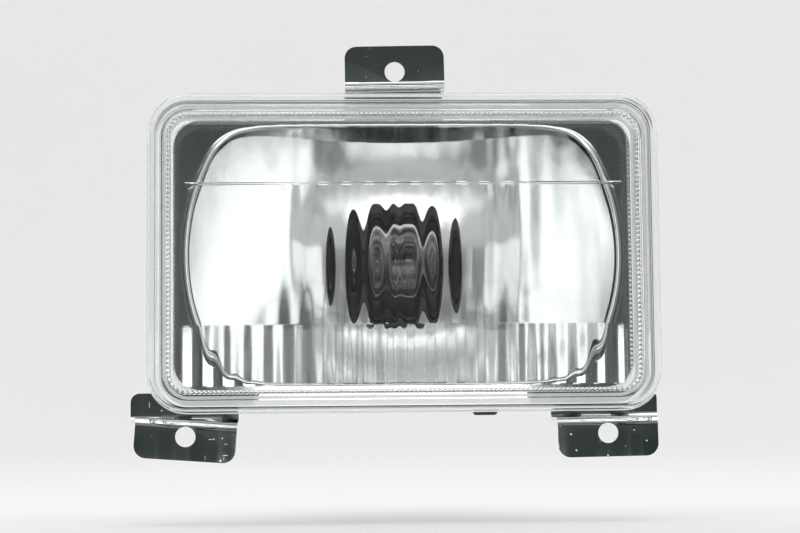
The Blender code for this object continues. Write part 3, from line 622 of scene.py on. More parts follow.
def flute_depth(x, centre_depth, side_depth):
    """Flutes are deepest in front of the bulb and fade towards the sides."""
    share = min(max((FLUTES_FADED - abs(x)) / (FLUTES_FADED - FLUTES_FULL), 0), 1)
    return side_depth + (centre_depth - side_depth) * share ** 2 * (3 - 2 * share)


def fluted_pad(bottom, top, count, pitch, centre_depth, side_depth):
    """A slab with upright flutes on its rear face, sunk into the lens's plate."""
    sunk = LENS_FRONT + LENS_PLATE - 1 * MM
    rear = LENS_FRONT + LENS_PLATE + 0.2 * MM
    half = count * pitch / 2
    profile = []
    for i in range(count * FLUTE_STEPS + 1):
        phase = (i % FLUTE_STEPS) / FLUTE_STEPS
        x = -half + i * pitch / FLUTE_STEPS
        middle = -half + (i // FLUTE_STEPS + 0.5) * pitch
        depth = flute_depth(middle, centre_depth, side_depth)
        profile.append((x, rear + depth * (1 - math.cos(2 * math.pi * phase)) / 2))
    profile += [(half, sunk), (-half, sunk)]
    return loft([[(x, y, z) for x, y in profile] for z in (bottom, top)])


def knurl_ring():
    """A band of small pillow-shaped teeth on the lens's rear face, all round inside the tongue."""
    outer, inner = TONGUE_INSET + TONGUE_WALL + 0.12 * MM, (LENS_WIDTH - BEZEL_WIDTH) / 2 + 0.05 * MM
    sunk = LENS_FRONT + LENS_PLATE - 0.8 * MM
    floor = LENS_FRONT + LENS_PLATE + 0.08 * MM
    height = 0.6 * MM
    arc = math.pi / 2 * (LENS_CORNER - (outer + inner) / 2)
    counts = (
        round(arc / KNURL_PITCH),
        round((LENS_WIDTH - 2 * LENS_CORNER) / KNURL_PITCH),
        round((LENS_HEIGHT - 2 * LENS_CORNER) / KNURL_PITCH),
    )
    across = (0.0, 0.12, 0.3, 0.5, 0.7, 0.88, 1.0)
    loops = [dense_loop(outer, sunk, counts)]
    for share in across:
        inset = outer + (inner - outer) * share
        rise = math.sin(math.pi * share) ** 0.7 if 0 < share < 1 else 0.0
        loops.append(dense_loop(inset, floor, counts, height * rise))
    loops.append(dense_loop(inner, sunk, counts))
    return loft(loops, ring=True)


def dense_loop(inset, y, counts, height=0.0):
    """The lens outline at an inset with several points to each tooth, raised in the teeth's middles."""

    def at_corner(side_x, side_z, angle):
        return (side_x * half_x + corner * math.cos(angle), side_z * half_z + corner * math.sin(angle))

    corner = LENS_CORNER - inset
    half_x, half_z = LENS_WIDTH / 2 - LENS_CORNER, LENS_HEIGHT / 2 - LENS_CORNER
    teeth_arc, teeth_x, teeth_z = (count * KNURL_STEPS for count in counts)
    points = []
    for turn, (side_x, side_z) in enumerate(((1, 1), (-1, 1), (-1, -1), (1, -1))):
        for i in range(teeth_arc):
            angle = math.pi / 2 * (turn + i / teeth_arc)
            points.append((*at_corner(side_x, side_z, angle), i))
        run = teeth_x if turn % 2 == 0 else teeth_z
        angle = math.pi / 2 * (turn + 1)
        start = Vector(at_corner(side_x, side_z, angle))
        way = Vector((-math.sin(angle), math.cos(angle)))
        length = 2 * (half_x if turn % 2 == 0 else half_z)
        for i in range(run):
            point = start + way * length * i / run
            points.append((point.x, point.y, i))
    loop = []
    for x, z, i in points:
        phase = (i % KNURL_STEPS) / KNURL_STEPS
        loop.append((x, y + height * math.sin(math.pi * phase) ** 0.6, z))
    return loop


def lens_seal():
    """The bead between the lens's skirt and the reflector's flange, an oval in section."""
    outer = SEAL_LOW.x - LENS_LOW.x
    inner = (LENS_WIDTH - BEZEL_WIDTH) / 2 - 0.5 * MM
    middle_y, half_y = (SEAL_LOW.y + SEAL_HIGH.y) / 2, (SEAL_HIGH.y - SEAL_LOW.y) / 2
    steps = 16
    loops = []
    for k in range(steps):
        angle = 2 * math.pi * k / steps
        share = 0.5 + 0.5 * math.cos(angle)
        inset = inner + (outer - inner) * share
        loops.append(inset_loop(inset, middle_y + half_y * math.sin(angle)))
    add("seal_bead", loft(loops, ring=True), "adhesive", "lamp", "lens_seal", crease=60)


# ---------------------------------------------------------------- reflector

def polar_angles():
    """Directions round the optical axis, closer together near the corners of the bowl."""
    corner = math.asin(SHELF_Z / BOWL_RADIUS)
    quadrant = [corner * i / 36 for i in range(36)]
    quadrant += [corner + (math.pi / 2 - corner) * i / 36 for i in range(36)]
    angles = list(quadrant)
    angles += [math.pi - angle for angle in reversed(quadrant[1:] + [math.pi / 2])]
    angles += [math.pi + angle for angle in quadrant]
    angles += [2 * math.pi - angle for angle in reversed(quadrant[1:] + [math.pi / 2])]
    return sorted(set(round(angle, 9) for angle in angles))


def rectangle_reach(width, height, corner, angle):
    """How far a rounded rectangle's outline is from its middle in a direction."""
    across, up = abs(math.cos(angle)), abs(math.sin(angle))
    reach = min(width / 2 / max(across, 1e-9), height / 2 / max(up, 1e-9))
    centre_x, centre_z = width / 2 - corner, height / 2 - corner
    if reach * across > centre_x and reach * up > centre_z:
        along = centre_x * across + centre_z * up
        reach = along + math.sqrt(max(along ** 2 - centre_x ** 2 - centre_z ** 2 + corner ** 2, 0))
    return reach


def reflector():
    """The mirrored bowl, bezel, flange and bare back as one ring of loops, then bosses and breather."""
    angles = polar_angles()
    rows = []

    def ring(reach, depth, look):
        """Add a loop: reach and depth are numbers, or functions of the direction."""
        loop = []
        for angle in angles:
            radius = reach(angle) if callable(reach) else reach
            y = depth(angle, radius) if callable(depth) else depth
            loop.append((radius * math.cos(angle), y, radius * math.sin(angle)))
        rows.append((loop, look))

    def edge(radius, shelf):
        """A circle cut flat above and below, with eased corners where they meet."""
        def reach(angle):
            flat = shelf / max(abs(math.sin(angle)), 1e-3)
            return (radius ** -CORNER_EASE + flat ** -CORNER_EASE) ** (-1 / CORNER_EASE)
        return reach

    def parabola(vertex):
        return lambda angle, radius: vertex - radius ** 2 / (4 * FOCAL_LENGTH)

    def box(width, height, corner):
        return lambda angle: rectangle_reach(width, height, corner, angle)

    mirror, bare, pale = 0, 1, 2
    inner_edge = edge(BOWL_RADIUS - 3.4 * MM, SHELF_Z - 0.3 * MM)
    rolled_edge = edge(BOWL_RADIUS - 0.6 * MM, SHELF_Z + 0.6 * MM)
    lip_rear = NECK_REAR - NECK_LIP
    cavity_front = VERTEX_Y - CAVITY_RADIUS ** 2 / (4 * FOCAL_LENGTH)
    ring(NECK_BORE, NECK_REAR, bare)
    ring(NECK_BORE, lip_rear, bare)
    ring(CAVITY_RADIUS, lip_rear, bare)
    ring(CAVITY_RADIUS, cavity_front + 0.3 * MM, mirror)
    steps = 26
    for i in range(steps + 1):
        share = i / steps
        start = CAVITY_RADIUS + 0.3 * MM
        ring(lambda angle, share=share: start + (inner_edge(angle) - start) * share,
             parabola(VERTEX_Y), mirror)
    lip_y = BEZEL_FRONT + LIP
    edge_y = parabola(VERTEX_Y)
    for i in range(1, 7):
        share = i / 6
        ring(inner_edge, lambda angle, radius, share=share: edge_y(angle, radius) +
             (lip_y - edge_y(angle, radius)) * share, mirror)
    for i in range(1, 9):
        turn = math.pi / 2 * i / 8
        ring(lambda angle, turn=turn: inner_edge(angle) + (rolled_edge(angle) - inner_edge(angle)) *
             (1 - math.cos(turn)), lip_y - LIP * math.sin(turn), mirror)
    outer_bezel = box(BEZEL_WIDTH, BEZEL_HEIGHT, BEZEL_CORNER)
    ring(lambda angle: rolled_edge(angle) + 0.2 * MM, BEZEL_FRONT, mirror)
    ring(lambda angle: outer_bezel(angle) - 0.75 * MM, BEZEL_FRONT, mirror)
    ring(lambda angle: outer_bezel(angle) - 0.5 * MM, BEZEL_FRONT, mirror)
    for i in range(1, 5):
        turn = math.pi / 2 * i / 4
        ring(lambda angle, turn=turn: outer_bezel(angle) - 0.5 * MM * (1 - math.sin(turn)),
             BEZEL_FRONT + 0.5 * MM * (1 - math.cos(turn)), mirror)
    ring(outer_bezel, FLANGE_FRONT, mirror)
    flange = box(LENS_WIDTH - 2 * FLANGE_INSET, LENS_HEIGHT - 2 * FLANGE_INSET,
                 LENS_CORNER - FLANGE_INSET)
    ring(flange, FLANGE_FRONT, pale)
    ring(flange, FLANGE_REAR, bare)
    outer_edge = edge(BOWL_RADIUS + 0.2 * MM, SHELF_Z + SHELF_WALL)
    pocket = box(BEZEL_WIDTH - 2 * BEZEL_WALL, BEZEL_HEIGHT - 2 * BEZEL_WALL,
                 BEZEL_CORNER - BEZEL_WALL)

    def pocket_edge(angle):
        return max(pocket(angle), outer_edge(angle) + 0.05 * MM)

    ring(pocket_edge, FLANGE_REAR, bare)
    ring(pocket_edge, BEZEL_FRONT + BEZEL_WALL, bare)
    ring(outer_edge, BEZEL_FRONT + BEZEL_WALL + 0.02 * MM, bare)
    outer_vertex = VERTEX_Y + BOWL_WALL
    for i in range(steps + 1):
        share = 1 - i / steps
        ring(lambda angle, share=share: NECK_RADIUS + (outer_edge(angle) - NECK_RADIUS) * share,
             parabola(outer_vertex), bare)
    ring(NECK_RADIUS, NECK_REAR, bare)
    looks = [rows[(i + 1) % len(rows)][1] for i in range(len(rows))]
    shape = loft([loop for loop, look in rows], ring=True, looks=looks)
    looks = ["mirror_plastic", "shell_plastic", "flange_plastic"]
    bowl = finish_object("reflector_shell", shape, looks, 25)
    bosses = [rod((x, FLANGE_REAR - 1 * MM, z), (x, BOSS_REAR, z), BOSS_RADIUS)
              for x, z in boss_points()]
    combine(bowl, bosses, "UNION", 1, 25)
    vent_x, vent_y = vent_place()
    spigot = rod((vent_x, vent_y, -SHELF_Z - 1 * MM), (vent_x, vent_y, -SHELF_Z - 8 * MM), 2.6 * MM)
    combine(bowl, [spigot], "UNION", 1, 25)
    drain = rod((vent_x, vent_y, -SHELF_Z + 1 * MM), (vent_x, vent_y, -SHELF_Z - 9 * MM), 1.2 * MM)
    combine(bowl, [drain], "DIFFERENCE", 1, 25)
    return place(bowl, "lamp", "mirror_plastic", "reflector")


def boss_points():
    """Where the six bracket screws are, as (x, z)."""
    places = [(side * x, -SCREW_Z) for side in (-1, 1) for x in SIDE_SCREWS]
    places += [(BRACKET_SHIFT + side * TOP_SCREW_OFFSET, SCREW_Z) for side in (-1, 1)]
    return places


def vent_place():
    """The vent cap's middle, as (x, y)."""
    low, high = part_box("vent_cap")
    return (low.x + high.x) / 2, (low.y + high.y) / 2


def vent_cap():
    """A rubber cup over the breather's spigot, open above, with a small hole in its floor."""
    low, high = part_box("vent_cap")
    middle_x, middle_y = vent_place()
    outer = (high.x - low.x) / 2
    bore = outer - 1.3 * MM
    floor = low.z + 2.2 * MM
    profile = [(outer - 0.3 * MM, high.z), (outer, high.z - 0.3 * MM), (outer, low.z + 1.9 * MM)]
    profile += [(outer, low.z + 1.5 * MM)]
    profile += [(outer - 1.2 * MM * (1 - math.cos(math.pi / 2 * i / 6)),
                 low.z + 1.2 * MM * (1 - math.sin(math.pi / 2 * i / 6))) for i in range(7)]
    profile += [(0.8 * MM, low.z), (0.8 * MM, floor), (bore, floor), (bore, high.z)]
    shape = turned(profile, 48)
    bmesh.ops.transform(shape, matrix=Matrix.Rotation(math.pi / 2, 4, "X"), verts=shape.verts)
    bmesh.ops.translate(shape, vec=(middle_x, middle_y, 0), verts=shape.verts)
    add("breather_cap", shape, "rubber", "lamp", "vent_cap")


# ---------------------------------------------------------------- brackets

def rounded_path(corners, radius, steps=10):
    """Points and directions along a bent line whose inner corners are arcs."""
    ends = [Vector(corner) for corner in corners]
    points = [(ends[0], (ends[1] - ends[0]).normalized())]
    for before, corner, after in zip(ends, ends[1:], ends[2:]):
        into, out = (corner - before).normalized(), (after - corner).normalized()
        start = corner - into * radius
        for i in range(steps + 1):
            angle = math.pi / 2 * i / steps
            point = start + into * radius * math.sin(angle) + out * radius * (1 - math.cos(angle))
            points.append((point, (into * math.cos(angle) + out * math.sin(angle)).normalized()))
    points.append((ends[-1], (ends[-1] - ends[-2]).normalized()))
    return points


def corner_stations(corner, steps=10):
    """Distances from a rounded end, and how far each side has drawn in there."""
    angles = [math.pi / 2 * i / steps for i in range(steps + 1)]
    return [(corner * (1 - math.cos(angle)), corner * (1 - math.sin(angle))) for angle in angles]


def bracket(place_name, hole_x, hole_z, margin, tilt, flare_side):
    """A strip from the foot behind the flange, forward past the lens's edge, out to the tab."""
    side = 1 if hole_z > 0 else -1
    foot_y = BOSS_REAR + GAP + STRIP / 2
    tab_y = -STRIP / 2
    corners = [(foot_y, side * FOOT_EDGE_Z), (foot_y, side * LEDGE_Z), (tab_y, side * LEDGE_Z),
               (tab_y, hole_z + side * margin)]
    path = rounded_path(corners, BEND_RADIUS)
    rows = []
    foot_end, foot_way = path[0]
    for distance, draw_in in corner_stations(FOOT_CORNER):
        rows.append((foot_end + foot_way * distance, foot_way, draw_in, 0))
    for point, way in path[1:-1]:
        rows.append((point, way, 0, (foot_y - point.x) / (foot_y - tab_y)))
    tab_end, tab_way = path[-1]
    for distance, draw_in in reversed(corner_stations(TAB_CORNER)):
        rows.append((tab_end - tab_way * distance, tab_way, draw_in, 1))
    loops = []
    for point, way, draw_in, share in rows:
        half = TAB_WIDTH / 2 - draw_in
        flare = FOOT_FLARE * (1 - share)
        left = -half - (flare if flare_side < 0 else 0)
        right = half + (flare if flare_side > 0 else 0)
        normal = Vector((0, -way.y, way.x)) * STRIP / 2
        centre = Vector((0, point.x, point.y - hole_z))
        corners_here = [Vector((left, 0, 0)) + normal, Vector((right, 0, 0)) + normal,
                        Vector((right, 0, 0)) - normal, Vector((left, 0, 0)) - normal]
        turn = Matrix.Rotation(-math.radians(tilt) * share, 3, "Y")
        loops.append([Vector((hole_x, 0, hole_z)) + turn @ (centre + corner) for corner in corners_here])
    strip = finish_object("plated_bracket_" + place_name, loft(loops), ["chromed_steel"])
    cuts = [rod((hole_x, -3 * MM, hole_z), (hole_x, 2 * MM, hole_z), HOLE_RADIUS, 64)]
    for x, z in boss_points():
        if abs(x - hole_x) < TAB_WIDTH and z * hole_z > 0:
            cuts.append(rod((x, foot_y - STRIP, z), (x, foot_y + STRIP, z), SCREW_RADIUS + GAP))
    combine(strip, cuts, "DIFFERENCE", 0, 12)
    soften(strip, 0.22 * MM, 3, 40, 12)
    return place(strip, "lamp", "chromed_steel", "bracket_" + place_name)


def bracket_screw(node):
    """A pan-head screw with a cross recess and a threaded shank."""
    low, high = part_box(node)
    x, z = (low.x + high.x) / 2, (low.z + high.z) / 2
    tip = low.y
    seat = BOSS_REAR + GAP + STRIP + GAP
    core = SCREW_RADIUS * 0.76
    pitch = 0.9 * MM
    profile = [(0, tip), (SCREW_RADIUS * 0.45, tip)]
    for i in range(int((seat - tip - 1.6 * MM) / pitch)):
        start = tip + 0.8 * MM + i * pitch
        profile += [(core, start), (core, start + pitch * 0.3),
                    (SCREW_RADIUS, start + pitch * 0.62), (SCREW_RADIUS, start + pitch * 0.7)]
    profile += [(core, seat - 0.4 * MM), (SCREW_RADIUS, seat)]
    head = high.y - seat
    profile += [(SCREW_HEAD_RADIUS - 0.2 * MM, seat), (SCREW_HEAD_RADIUS, seat + 0.2 * MM)]
    profile += [(SCREW_HEAD_RADIUS, seat + head * 0.4)]
    for i in range(1, 9):
        angle = math.pi / 2 * i / 8
        profile.append((SCREW_HEAD_RADIUS * math.cos(angle) ** 0.75 if i < 8 else 0,
                        seat + head * (0.4 + 0.6 * math.sin(angle))))
    screw = finish_object("pan_head_" + node, turned(profile, 36, (x, z)), ["zinc_steel"], 35)
    floor = seat + 0.7 * MM
    reach, width = 1.5 * MM, 0.32 * MM
    cuts = []
    for half_x, half_z in ((reach, width), (width, reach)):
        cuts.append(block((x - half_x, floor, z - half_z), (x + half_x, seat + 4 * MM, z + half_z)))
    combine(screw, cuts, "DIFFERENCE", 0, 35)
    return place(screw, "lamp", "zinc_steel", node)


# ---------------------------------------------------------------- holder

def holder_gasket():
    """A rubber ring with rounded edges between the neck and the holder's grip."""
    front, rear = GASKET_LOW.y, GASKET_HIGH.y
    inner, outer = NECK_BORE + 0.4 * MM, GASKET_HIGH.x
    edge = 0.5 * MM
    profile = [(inner, rear), (inner, front + edge)]
    profile += quarter((inner, front + edge), (inner + edge, front), 5, -1)[1:]
    profile += quarter((outer - edge, front), (outer, front + edge), 5, 1)
    middle = (front + rear) / 2
    profile += [(outer - 0.12 * MM, middle), (outer, rear - edge)]
    profile += quarter((outer, rear - edge), (outer - edge, rear), 5, -1)[1:]
    add("sealing_ring", turned(profile, 96), "rubber", "holder", "holder_gasket", crease=40)


def holder_body():
    """The twist-lock holder: lock tabs, a grip with knobs, a ribbed housing and the plug socket."""
    front, rear = BODY_LOW.y, BODY_HIGH.y
    ring_inner = BODY_RADIUS - BODY_WALL
    web_front = GRIP_FRONT - 0.8 * MM
    profile = [(SOCKET_BORE, front + 0.3 * MM), (SOCKET_BORE + 0.3 * MM, front)]
    profile += [(HUB_RADIUS - 0.3 * MM, front), (HUB_RADIUS, front + 0.3 * MM), (HUB_RADIUS, web_front)]
    profile += [(ring_inner, web_front), (ring_inner, front + 0.3 * MM), (ring_inner + 0.3 * MM, front)]
    profile += [(BODY_RADIUS - 0.5 * MM, front), (BODY_RADIUS, front + 0.5 * MM), (BODY_RADIUS, GRIP_FRONT)]
    profile += [(GRIP_RADIUS - 0.5 * MM, GRIP_FRONT), (GRIP_RADIUS, GRIP_FRONT + 0.5 * MM)]
    profile += quarter((GRIP_RADIUS, GRIP_REAR - 0.8 * MM), (GRIP_RADIUS - 0.8 * MM, GRIP_REAR), 5, -1)
    groove = GRIP_REAR - 0.6 * MM
    profile += [(21 * MM, GRIP_REAR), (20.6 * MM, groove), (15.4 * MM, groove), (15 * MM, GRIP_REAR)]
    edge = 1.2 * MM
    profile += quarter((HOUSING_RADIUS + edge, GRIP_REAR), (HOUSING_RADIUS, GRIP_REAR + edge), 6, 1)
    profile += quarter((HOUSING_RADIUS, HOUSING_REAR - edge), (HOUSING_RADIUS - edge, HOUSING_REAR), 6, -1)
    profile += [(0, HOUSING_REAR), (0, SOCKET_FLOOR), (SOCKET_BORE, SOCKET_FLOOR)]
    body = finish_object("twist_holder", turned(profile, 120), ["black_plastic"])
    joins = []
    lip_front = NECK_REAR - NECK_LIP
    for i in range(LOCK_TABS):
        part = block((BODY_RADIUS - 1.2 * MM, lip_front - 2.7 * MM, -3.5 * MM),
                     (CAVITY_RADIUS - 0.4 * MM, lip_front - 0.3 * MM, 3.5 * MM))
        turn = Matrix.Rotation(2 * math.pi * i / LOCK_TABS, 4, "Y")
        bmesh.ops.transform(part, matrix=turn, verts=part.verts)
        joins.append(part)
    for i in range(GRIP_KNOBS):
        angle = math.pi / 4 + i * math.pi / 2
        reach = GRIP_RADIUS - 0.5 * MM
        x, z = reach * math.cos(angle), reach * math.sin(angle)
        joins.append(rod((x, GRIP_FRONT + 0.4 * MM, z), (x, GRIP_REAR + 2 * MM, z), 2.5 * MM, 36))
    for i in range(HOUSING_RIBS):
        angle = 2 * math.pi * (i + 0.5) / HOUSING_RIBS
        reach = HOUSING_RADIUS + 0.1 * MM
        x, z = reach * math.cos(angle), reach * math.sin(angle)
        joins.append(rod((x, GRIP_REAR + 2.5 * MM, z), (x, HOUSING_REAR - 3 * MM, z), 0.55 * MM, 14))
    joins.append(block((-9 * MM, HOUSING_REAR - 1.2 * MM, -5.5 * MM), (9 * MM, rear, 5.5 * MM)))
    combine(body, joins, "UNION")
    cuts = [block((-7.6 * MM, HOUSING_REAR, -4.1 * MM), (7.6 * MM, rear + 1 * MM, 4.1 * MM))]
    for side in (-1, 1):
        middle = side * BLADE_OFFSET
        cuts.append(block((middle - 0.7 * MM, SOCKET_FLOOR - 1 * MM, -3.45 * MM),
                          (middle + 0.7 * MM, HOUSING_REAR + 1 * MM, 3.45 * MM)))
    cuts.append(block((-2.2 * MM, HOUSING_REAR + 4 * MM, 3.5 * MM),
                      (2.2 * MM, HOUSING_REAR + 7 * MM, 6 * MM)))
    combine(body, cuts, "DIFFERENCE")
    soften(body, 0.18 * MM, 2, 40)
    return place(body, "holder", "black_plastic", "holder_body")


def plunger_spring():
    """The contact spring: closed end turns, open in the middle."""
    low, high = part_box("plunger_spring")
    wire = 0.35 * MM
    coil = (high.x - low.x) / 2 - wire
    steps, turns = 28, 4
    count = steps * turns
    path = []
    for i in range(count + 1):
        angle = 2 * math.pi * i / steps
        share = i / count
        eased = share + 0.035 * math.sin(2 * math.pi * (2 * share - 0.5)) * math.sin(math.pi * share) ** 2
        y = low.y + wire + (high.y - low.y - 2 * wire) * min(max(eased, 0), 1)
        path.append((coil * math.cos(angle), y, coil * math.sin(angle)))
    made = finish_object("contact_spring", tube(path, wire, 12), ["spring_steel"], 40)
    place(made, "holder", "spring_steel", "plunger_spring")
    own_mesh(made)


# ---------------------------------------------------------------- bulb

def glass_outline(radius, neck, end, steps, shift):
    """Half outline of the envelope, from its front pole to its open neck."""
    centre = GLASS_LOW.y + GLASS_HIGH.x
    points = [(0, centre - radius)]
    last = math.radians(125)
    for i in range(1, steps + 1):
        angle = last * i / steps
        points.append((radius * math.sin(angle), centre - radius * math.cos(angle)))
    start = points[-1]
    waist = (neck, centre + GLASS_HIGH.x * 0.95 + 4 * MM + shift)
    lean = math.tan(last - math.pi / 2)
    for i in range(1, 13):
        share = i / 12
        y = start[1] + (waist[1] - start[1]) * share
        drop = start[0] - waist[0]
        reach = waist[0] + drop * (1 - share) ** 2 * (1 + share * (2 - lean * (waist[1] - start[1]) / drop))
        points.append((reach, y))
    return points + [(neck, end)]


def bulb():
    """The glass with its hollow, the filament and the base."""
    neck = BASE_RADIUS - 0.9 * MM
    end = GLASS_HIGH.y
    outer = glass_outline(GLASS_HIGH.x, neck, end, 26, 0)
    inner = glass_outline(GLASS_HIGH.x - GLASS_WALL, neck - GLASS_WALL, end, 26, -0.3 * MM)
    add("glass_envelope", turned(outer + inner[::-1], 72), "bulb_glass", "bulb", "bulb_glass", crease=50)
    filament()
    bulb_base()


def filament():
    """A fine coil across the focus that bows slightly forward in its middle."""
    coil_half, coil_radius, bow = 3 * MM, 0.68 * MM, 0.1 * MM
    turns, steps = 14, 16
    path = []
    for i in range(turns * steps + 1):
        angle = 2 * math.pi * i / steps
        share = i / (turns * steps)
        y = FOCUS_Y + coil_radius * math.cos(angle) - bow * math.sin(math.pi * share)
        path.append((coil_half * (2 * share - 1), y, coil_radius * math.sin(angle)))
    add("coiled_filament", tube(path, 0.09 * MM, 8), "tungsten", "bulb", "bulb_filament", crease=60)


def bulb_base():
    """A thin bayonet shell with a groove, a rolled rear edge and two pins."""
    front, base_rear = BASE_LOW.y, BASE_HIGH.y - 0.8 * MM
    wall, groove = 0.6 * MM, 0.25 * MM
    pin_y = FOCUS_Y + PIN_TO_FILAMENT
    profile = [(BASE_RADIUS - wall, front + 0.1 * MM), (BASE_RADIUS - wall * 0.5, front)]
    profile += [(BASE_RADIUS, front + 0.35 * MM), (BASE_RADIUS, front + 1.6 * MM)]
    profile += [(BASE_RADIUS - groove, front + 2.0 * MM), (BASE_RADIUS - groove, front + 2.5 * MM)]
    profile += [(BASE_RADIUS, front + 2.9 * MM), (BASE_RADIUS, base_rear - 0.5 * MM)]
    profile += quarter((BASE_RADIUS, base_rear - 0.5 * MM),
                       (BASE_RADIUS - 1.5 * MM, base_rear + 0.8 * MM), 6, -1)[1:]
    profile += [(BASE_RADIUS - 1.8 * MM, base_rear + 0.2 * MM), (BASE_RADIUS - wall, base_rear - 0.8 * MM)]
    base = finish_object("bayonet_base", turned(profile, 96), ["tinned_brass"], 35)
    pins = [rod((side * (BASE_RADIUS - 0.4 * MM), pin_y, 0), (side * BASE_HIGH.x, pin_y, 0), 1 * MM, 32)
            for side in (-1, 1)]
    combine(base, pins, "UNION", 0, 35)
    place(base, "bulb", "tinned_brass", "bulb_base")


# ---------------------------------------------------------------- pieces kept from the frame

KEPT = {
    "socket_sleeve": "tinned_brass",
    "terminal_live": "brass",
    "terminal_earth": "brass",
    "contact_plunger": "brass",
    "plunger_disc": "black_plastic",
    "bulb_stem": "bulb_glass",
    "filament_post_left": "spring_steel",
    "filament_post_right": "spring_steel",
    "base_insulator": "black_plastic",
    "base_contact": "tinned_brass",
}


def dress_kept_nodes():
    """Give the nodes that keep their CAD shape a material."""
    for node, look in KEPT.items():
        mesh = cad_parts[node].data
        mesh.materials.clear()
        mesh.materials.append(MATERIALS[look])


# ---------------------------------------------------------------- studio

FLOOR_Z = cad_box[0][2] - 20 * MM
COVE_RADIUS = 1.5
COVE_BEND = 0.55
COVE_HEIGHT = 1.7
COVE_LIT_Y = 0.1
COVE_DIM_Y = -1.1


def backdrop_material():
    """Matt white paper with painted shade: its colour and its glow darken towards the side that the lamp
    faces.
    """
    made = plain("backdrop", Metallic=0.0, Roughness=0.9, Emission_Strength=0.37)
    tree = made.node_tree
    coords = tree.nodes.new("ShaderNodeTexCoord")
    split = tree.nodes.new("ShaderNodeSeparateXYZ")
    tree.links.new(coords.outputs["Object"], split.inputs["Vector"])
    # painted shade: colour and glow fall from the lit back towards the dim front
    lit = ranged(made, split.outputs["Y"], COVE_DIM_Y, COVE_LIT_Y, 0, 1)
    paper = blended(made, pattern(made, 3, 3.0), (0.59, 0.59, 0.583), (0.62, 0.62, 0.613))
    shade = blended(made, lit, (0.20, 0.20, 0.20), paper)
    tree.links.new(blended(made, lit, (0.30, 0.30, 0.30), (0.995, 0.995, 0.985)),
                   tree.nodes["Principled BSDF"].inputs["Emission Color"])
    return surface(made, shade)


def cove():
    """A floor that bends up into a round wall, open above."""
    profile = [(0, FLOOR_Z), (COVE_RADIUS - COVE_BEND, FLOOR_Z)]
    for i in range(1, 25):
        angle = math.pi / 2 * i / 24
        profile.append((COVE_RADIUS - COVE_BEND + COVE_BEND * math.sin(angle),
                        FLOOR_Z + COVE_BEND * (1 - math.cos(angle))))
    profile.append((COVE_RADIUS, FLOOR_Z + COVE_HEIGHT))
    shape = bmesh.new()
    rows = []
    steps = 96
    for radius, z in profile:
        angles = [2 * math.pi * i / steps for i in range(steps)] if radius else [0]
        rows.append([shape.verts.new((radius * math.cos(a), radius * math.sin(a), z)) for a in angles])
    for near, far in zip(rows, rows[1:]):
        for i in range(steps):
            j = (i + 1) % steps
            corners = [near[i % len(near)], near[j % len(near)], far[j], far[i]]
            shape.faces.new(list(dict.fromkeys(corners)))
    for face in shape.faces:
        if face.normal.z < 0 or face.normal.dot(face.calc_center_median()) > 0:
            face.normal_flip()
    mesh = bpy.data.meshes.new("cove")
    shape.to_mesh(mesh)
    shape.free()
    mesh.shade_smooth()
    made = put("cove", mesh)
    mesh.materials.append(backdrop_material())


def dim_card(name, place_at, size, centre_glow, edge_glow):
    """A dim upright panel behind the camera that only the lamp's reflections show."""
    half_x, half_z = size[0] / 2, size[1] / 2
    corners = [(-half_x, 0, -half_z), (half_x, 0, -half_z), (half_x, 0, half_z), (-half_x, 0, half_z)]
    mesh = bpy.data.meshes.new(name)
    mesh.from_pydata(corners, [], [(0, 1, 2, 3)])
    made = put(name, mesh)
    made.location = place_at
    cloth = plain(name, Metallic=0.0, Roughness=0.9, Specular_IOR_Level=0.0, Emission_Strength=1.0,
                  Base_Color=(0, 0, 0, 1))
    fade = texture_over(cloth, "ShaderNodeTexGradient", (1 / half_x, 1, 1 / half_z))
    fade.gradient_type = "SPHERICAL"
    glow = blended(cloth, fade.outputs["Fac"], edge_glow, centre_glow)
    cloth.node_tree.links.new(glow, cloth.node_tree.nodes["Principled BSDF"].inputs["Emission Color"])
    mesh.materials.append(cloth)
    made.visible_camera = False
    made.visible_diffuse = False
    made.visible_shadow = False


def softbox(name, place_at, size, radiance):
    """A rectangular light of even brightness that faces the lamp."""
    light = bpy.data.lights.new(name, "AREA")
    light.shape = "RECTANGLE"
    light.size, light.size_y = size
    light.energy = radiance * math.pi * size[0] * size[1]
    made = put(name, light)
    made.location = place_at
    made.rotation_euler = (-Vector(place_at)).to_track_quat("-Z", "Y").to_euler()
    made.visible_camera = False
    return made


def direction(azimuth, elevation):
    """The unit vector towards a viewer at an azimuth and elevation in degrees."""
    a, e = math.radians(azimuth), math.radians(elevation)
    return Vector((math.sin(a) * math.cos(e), -math.cos(a) * math.cos(e), math.sin(e)))


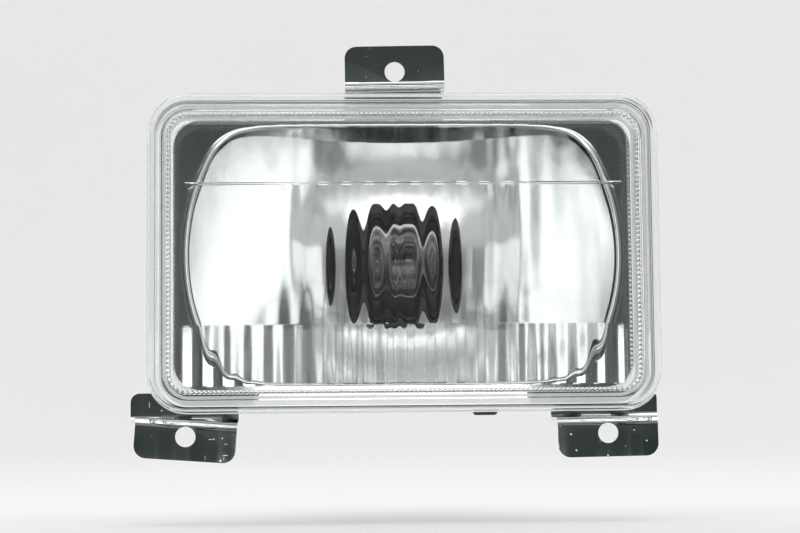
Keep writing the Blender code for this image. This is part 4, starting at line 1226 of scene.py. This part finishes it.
def lights():
    """A pale surround, five rectangular lights and the dim card, tuned to the photograph."""
    world = bpy.data.worlds.new("studio")
    world.use_nodes = True
    sky = world.node_tree.nodes["Background"]
    sky.inputs["Color"].default_value = (0.96, 0.98, 1.0, 1)
    sky.inputs["Strength"].default_value = 0.36
    bpy.context.scene.world = world
    key_distance, key_size = 0.9, (0.5, 0.8)
    boxes = (
        # name, place, size, radiance
        ("key_left", direction(-74, 10) * key_distance, key_size, 1.1),
        ("key_right", direction(74, 12) * key_distance, key_size, 1.2),
        ("overhead", (0, -0.1, 1.1), (1.3, 1.0), 1.7),
        ("camera_light", (0.02, -0.62, -0.045), (0.18, 0.10), 2.1),
        ("table_glow", (0, -0.13, FLOOR_Z + 2 * MM), (0.26, 0.14), 1.2),
    )
    made = {row[0]: softbox(*row) for row in boxes}
    made["table_glow"].rotation_euler = (math.pi, 0, 0)
    dim_card("dim_card", place_at=(0.02, -0.66, 0.05), size=(0.56, 0.42),
             centre_glow=(0.12, 0.13, 0.128), edge_glow=(0.020, 0.030, 0.031))


def camera():
    """The viewer's place: in front of the lamp and just below its middle."""
    distance, azimuth, elevation, roll = 0.600, -2.5, -4.65, math.radians(-0.53)
    sensor_width, focal_length = 36, 83.15
    back = direction(azimuth, elevation)
    right = Vector((math.cos(math.radians(azimuth)), math.sin(math.radians(azimuth)), 0))
    up = back.cross(right)
    level = math.cos(roll) * right + math.sin(roll) * up
    upright = math.cos(roll) * up - math.sin(roll) * right
    aim_x, aim_up = 1.2 * MM, 4.2 * MM
    data = bpy.data.cameras.new("camera")
    data.sensor_width = sensor_width
    data.lens = focal_length
    data.clip_start = 0.01
    made = put("camera", data)
    pose = Matrix((level, upright, back)).transposed().to_4x4()
    pose.translation = distance * back - aim_x * level - aim_up * upright
    made.matrix_world = pose
    bpy.context.scene.camera = made
    bpy.context.scene.view_settings.view_transform = "Standard"


# ---------------------------------------------------------------- build

camera()
cove()
lights()
lens()
lens_seal()
reflector()
vent_cap()
for bracket_row in BRACKETS:
    bracket(*bracket_row)
for node_name in sorted(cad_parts):
    if node_name.startswith("bracket_screw"):
        bracket_screw(node_name)
holder_gasket()
holder_body()
plunger_spring()
bulb()
dress_kept_nodes()
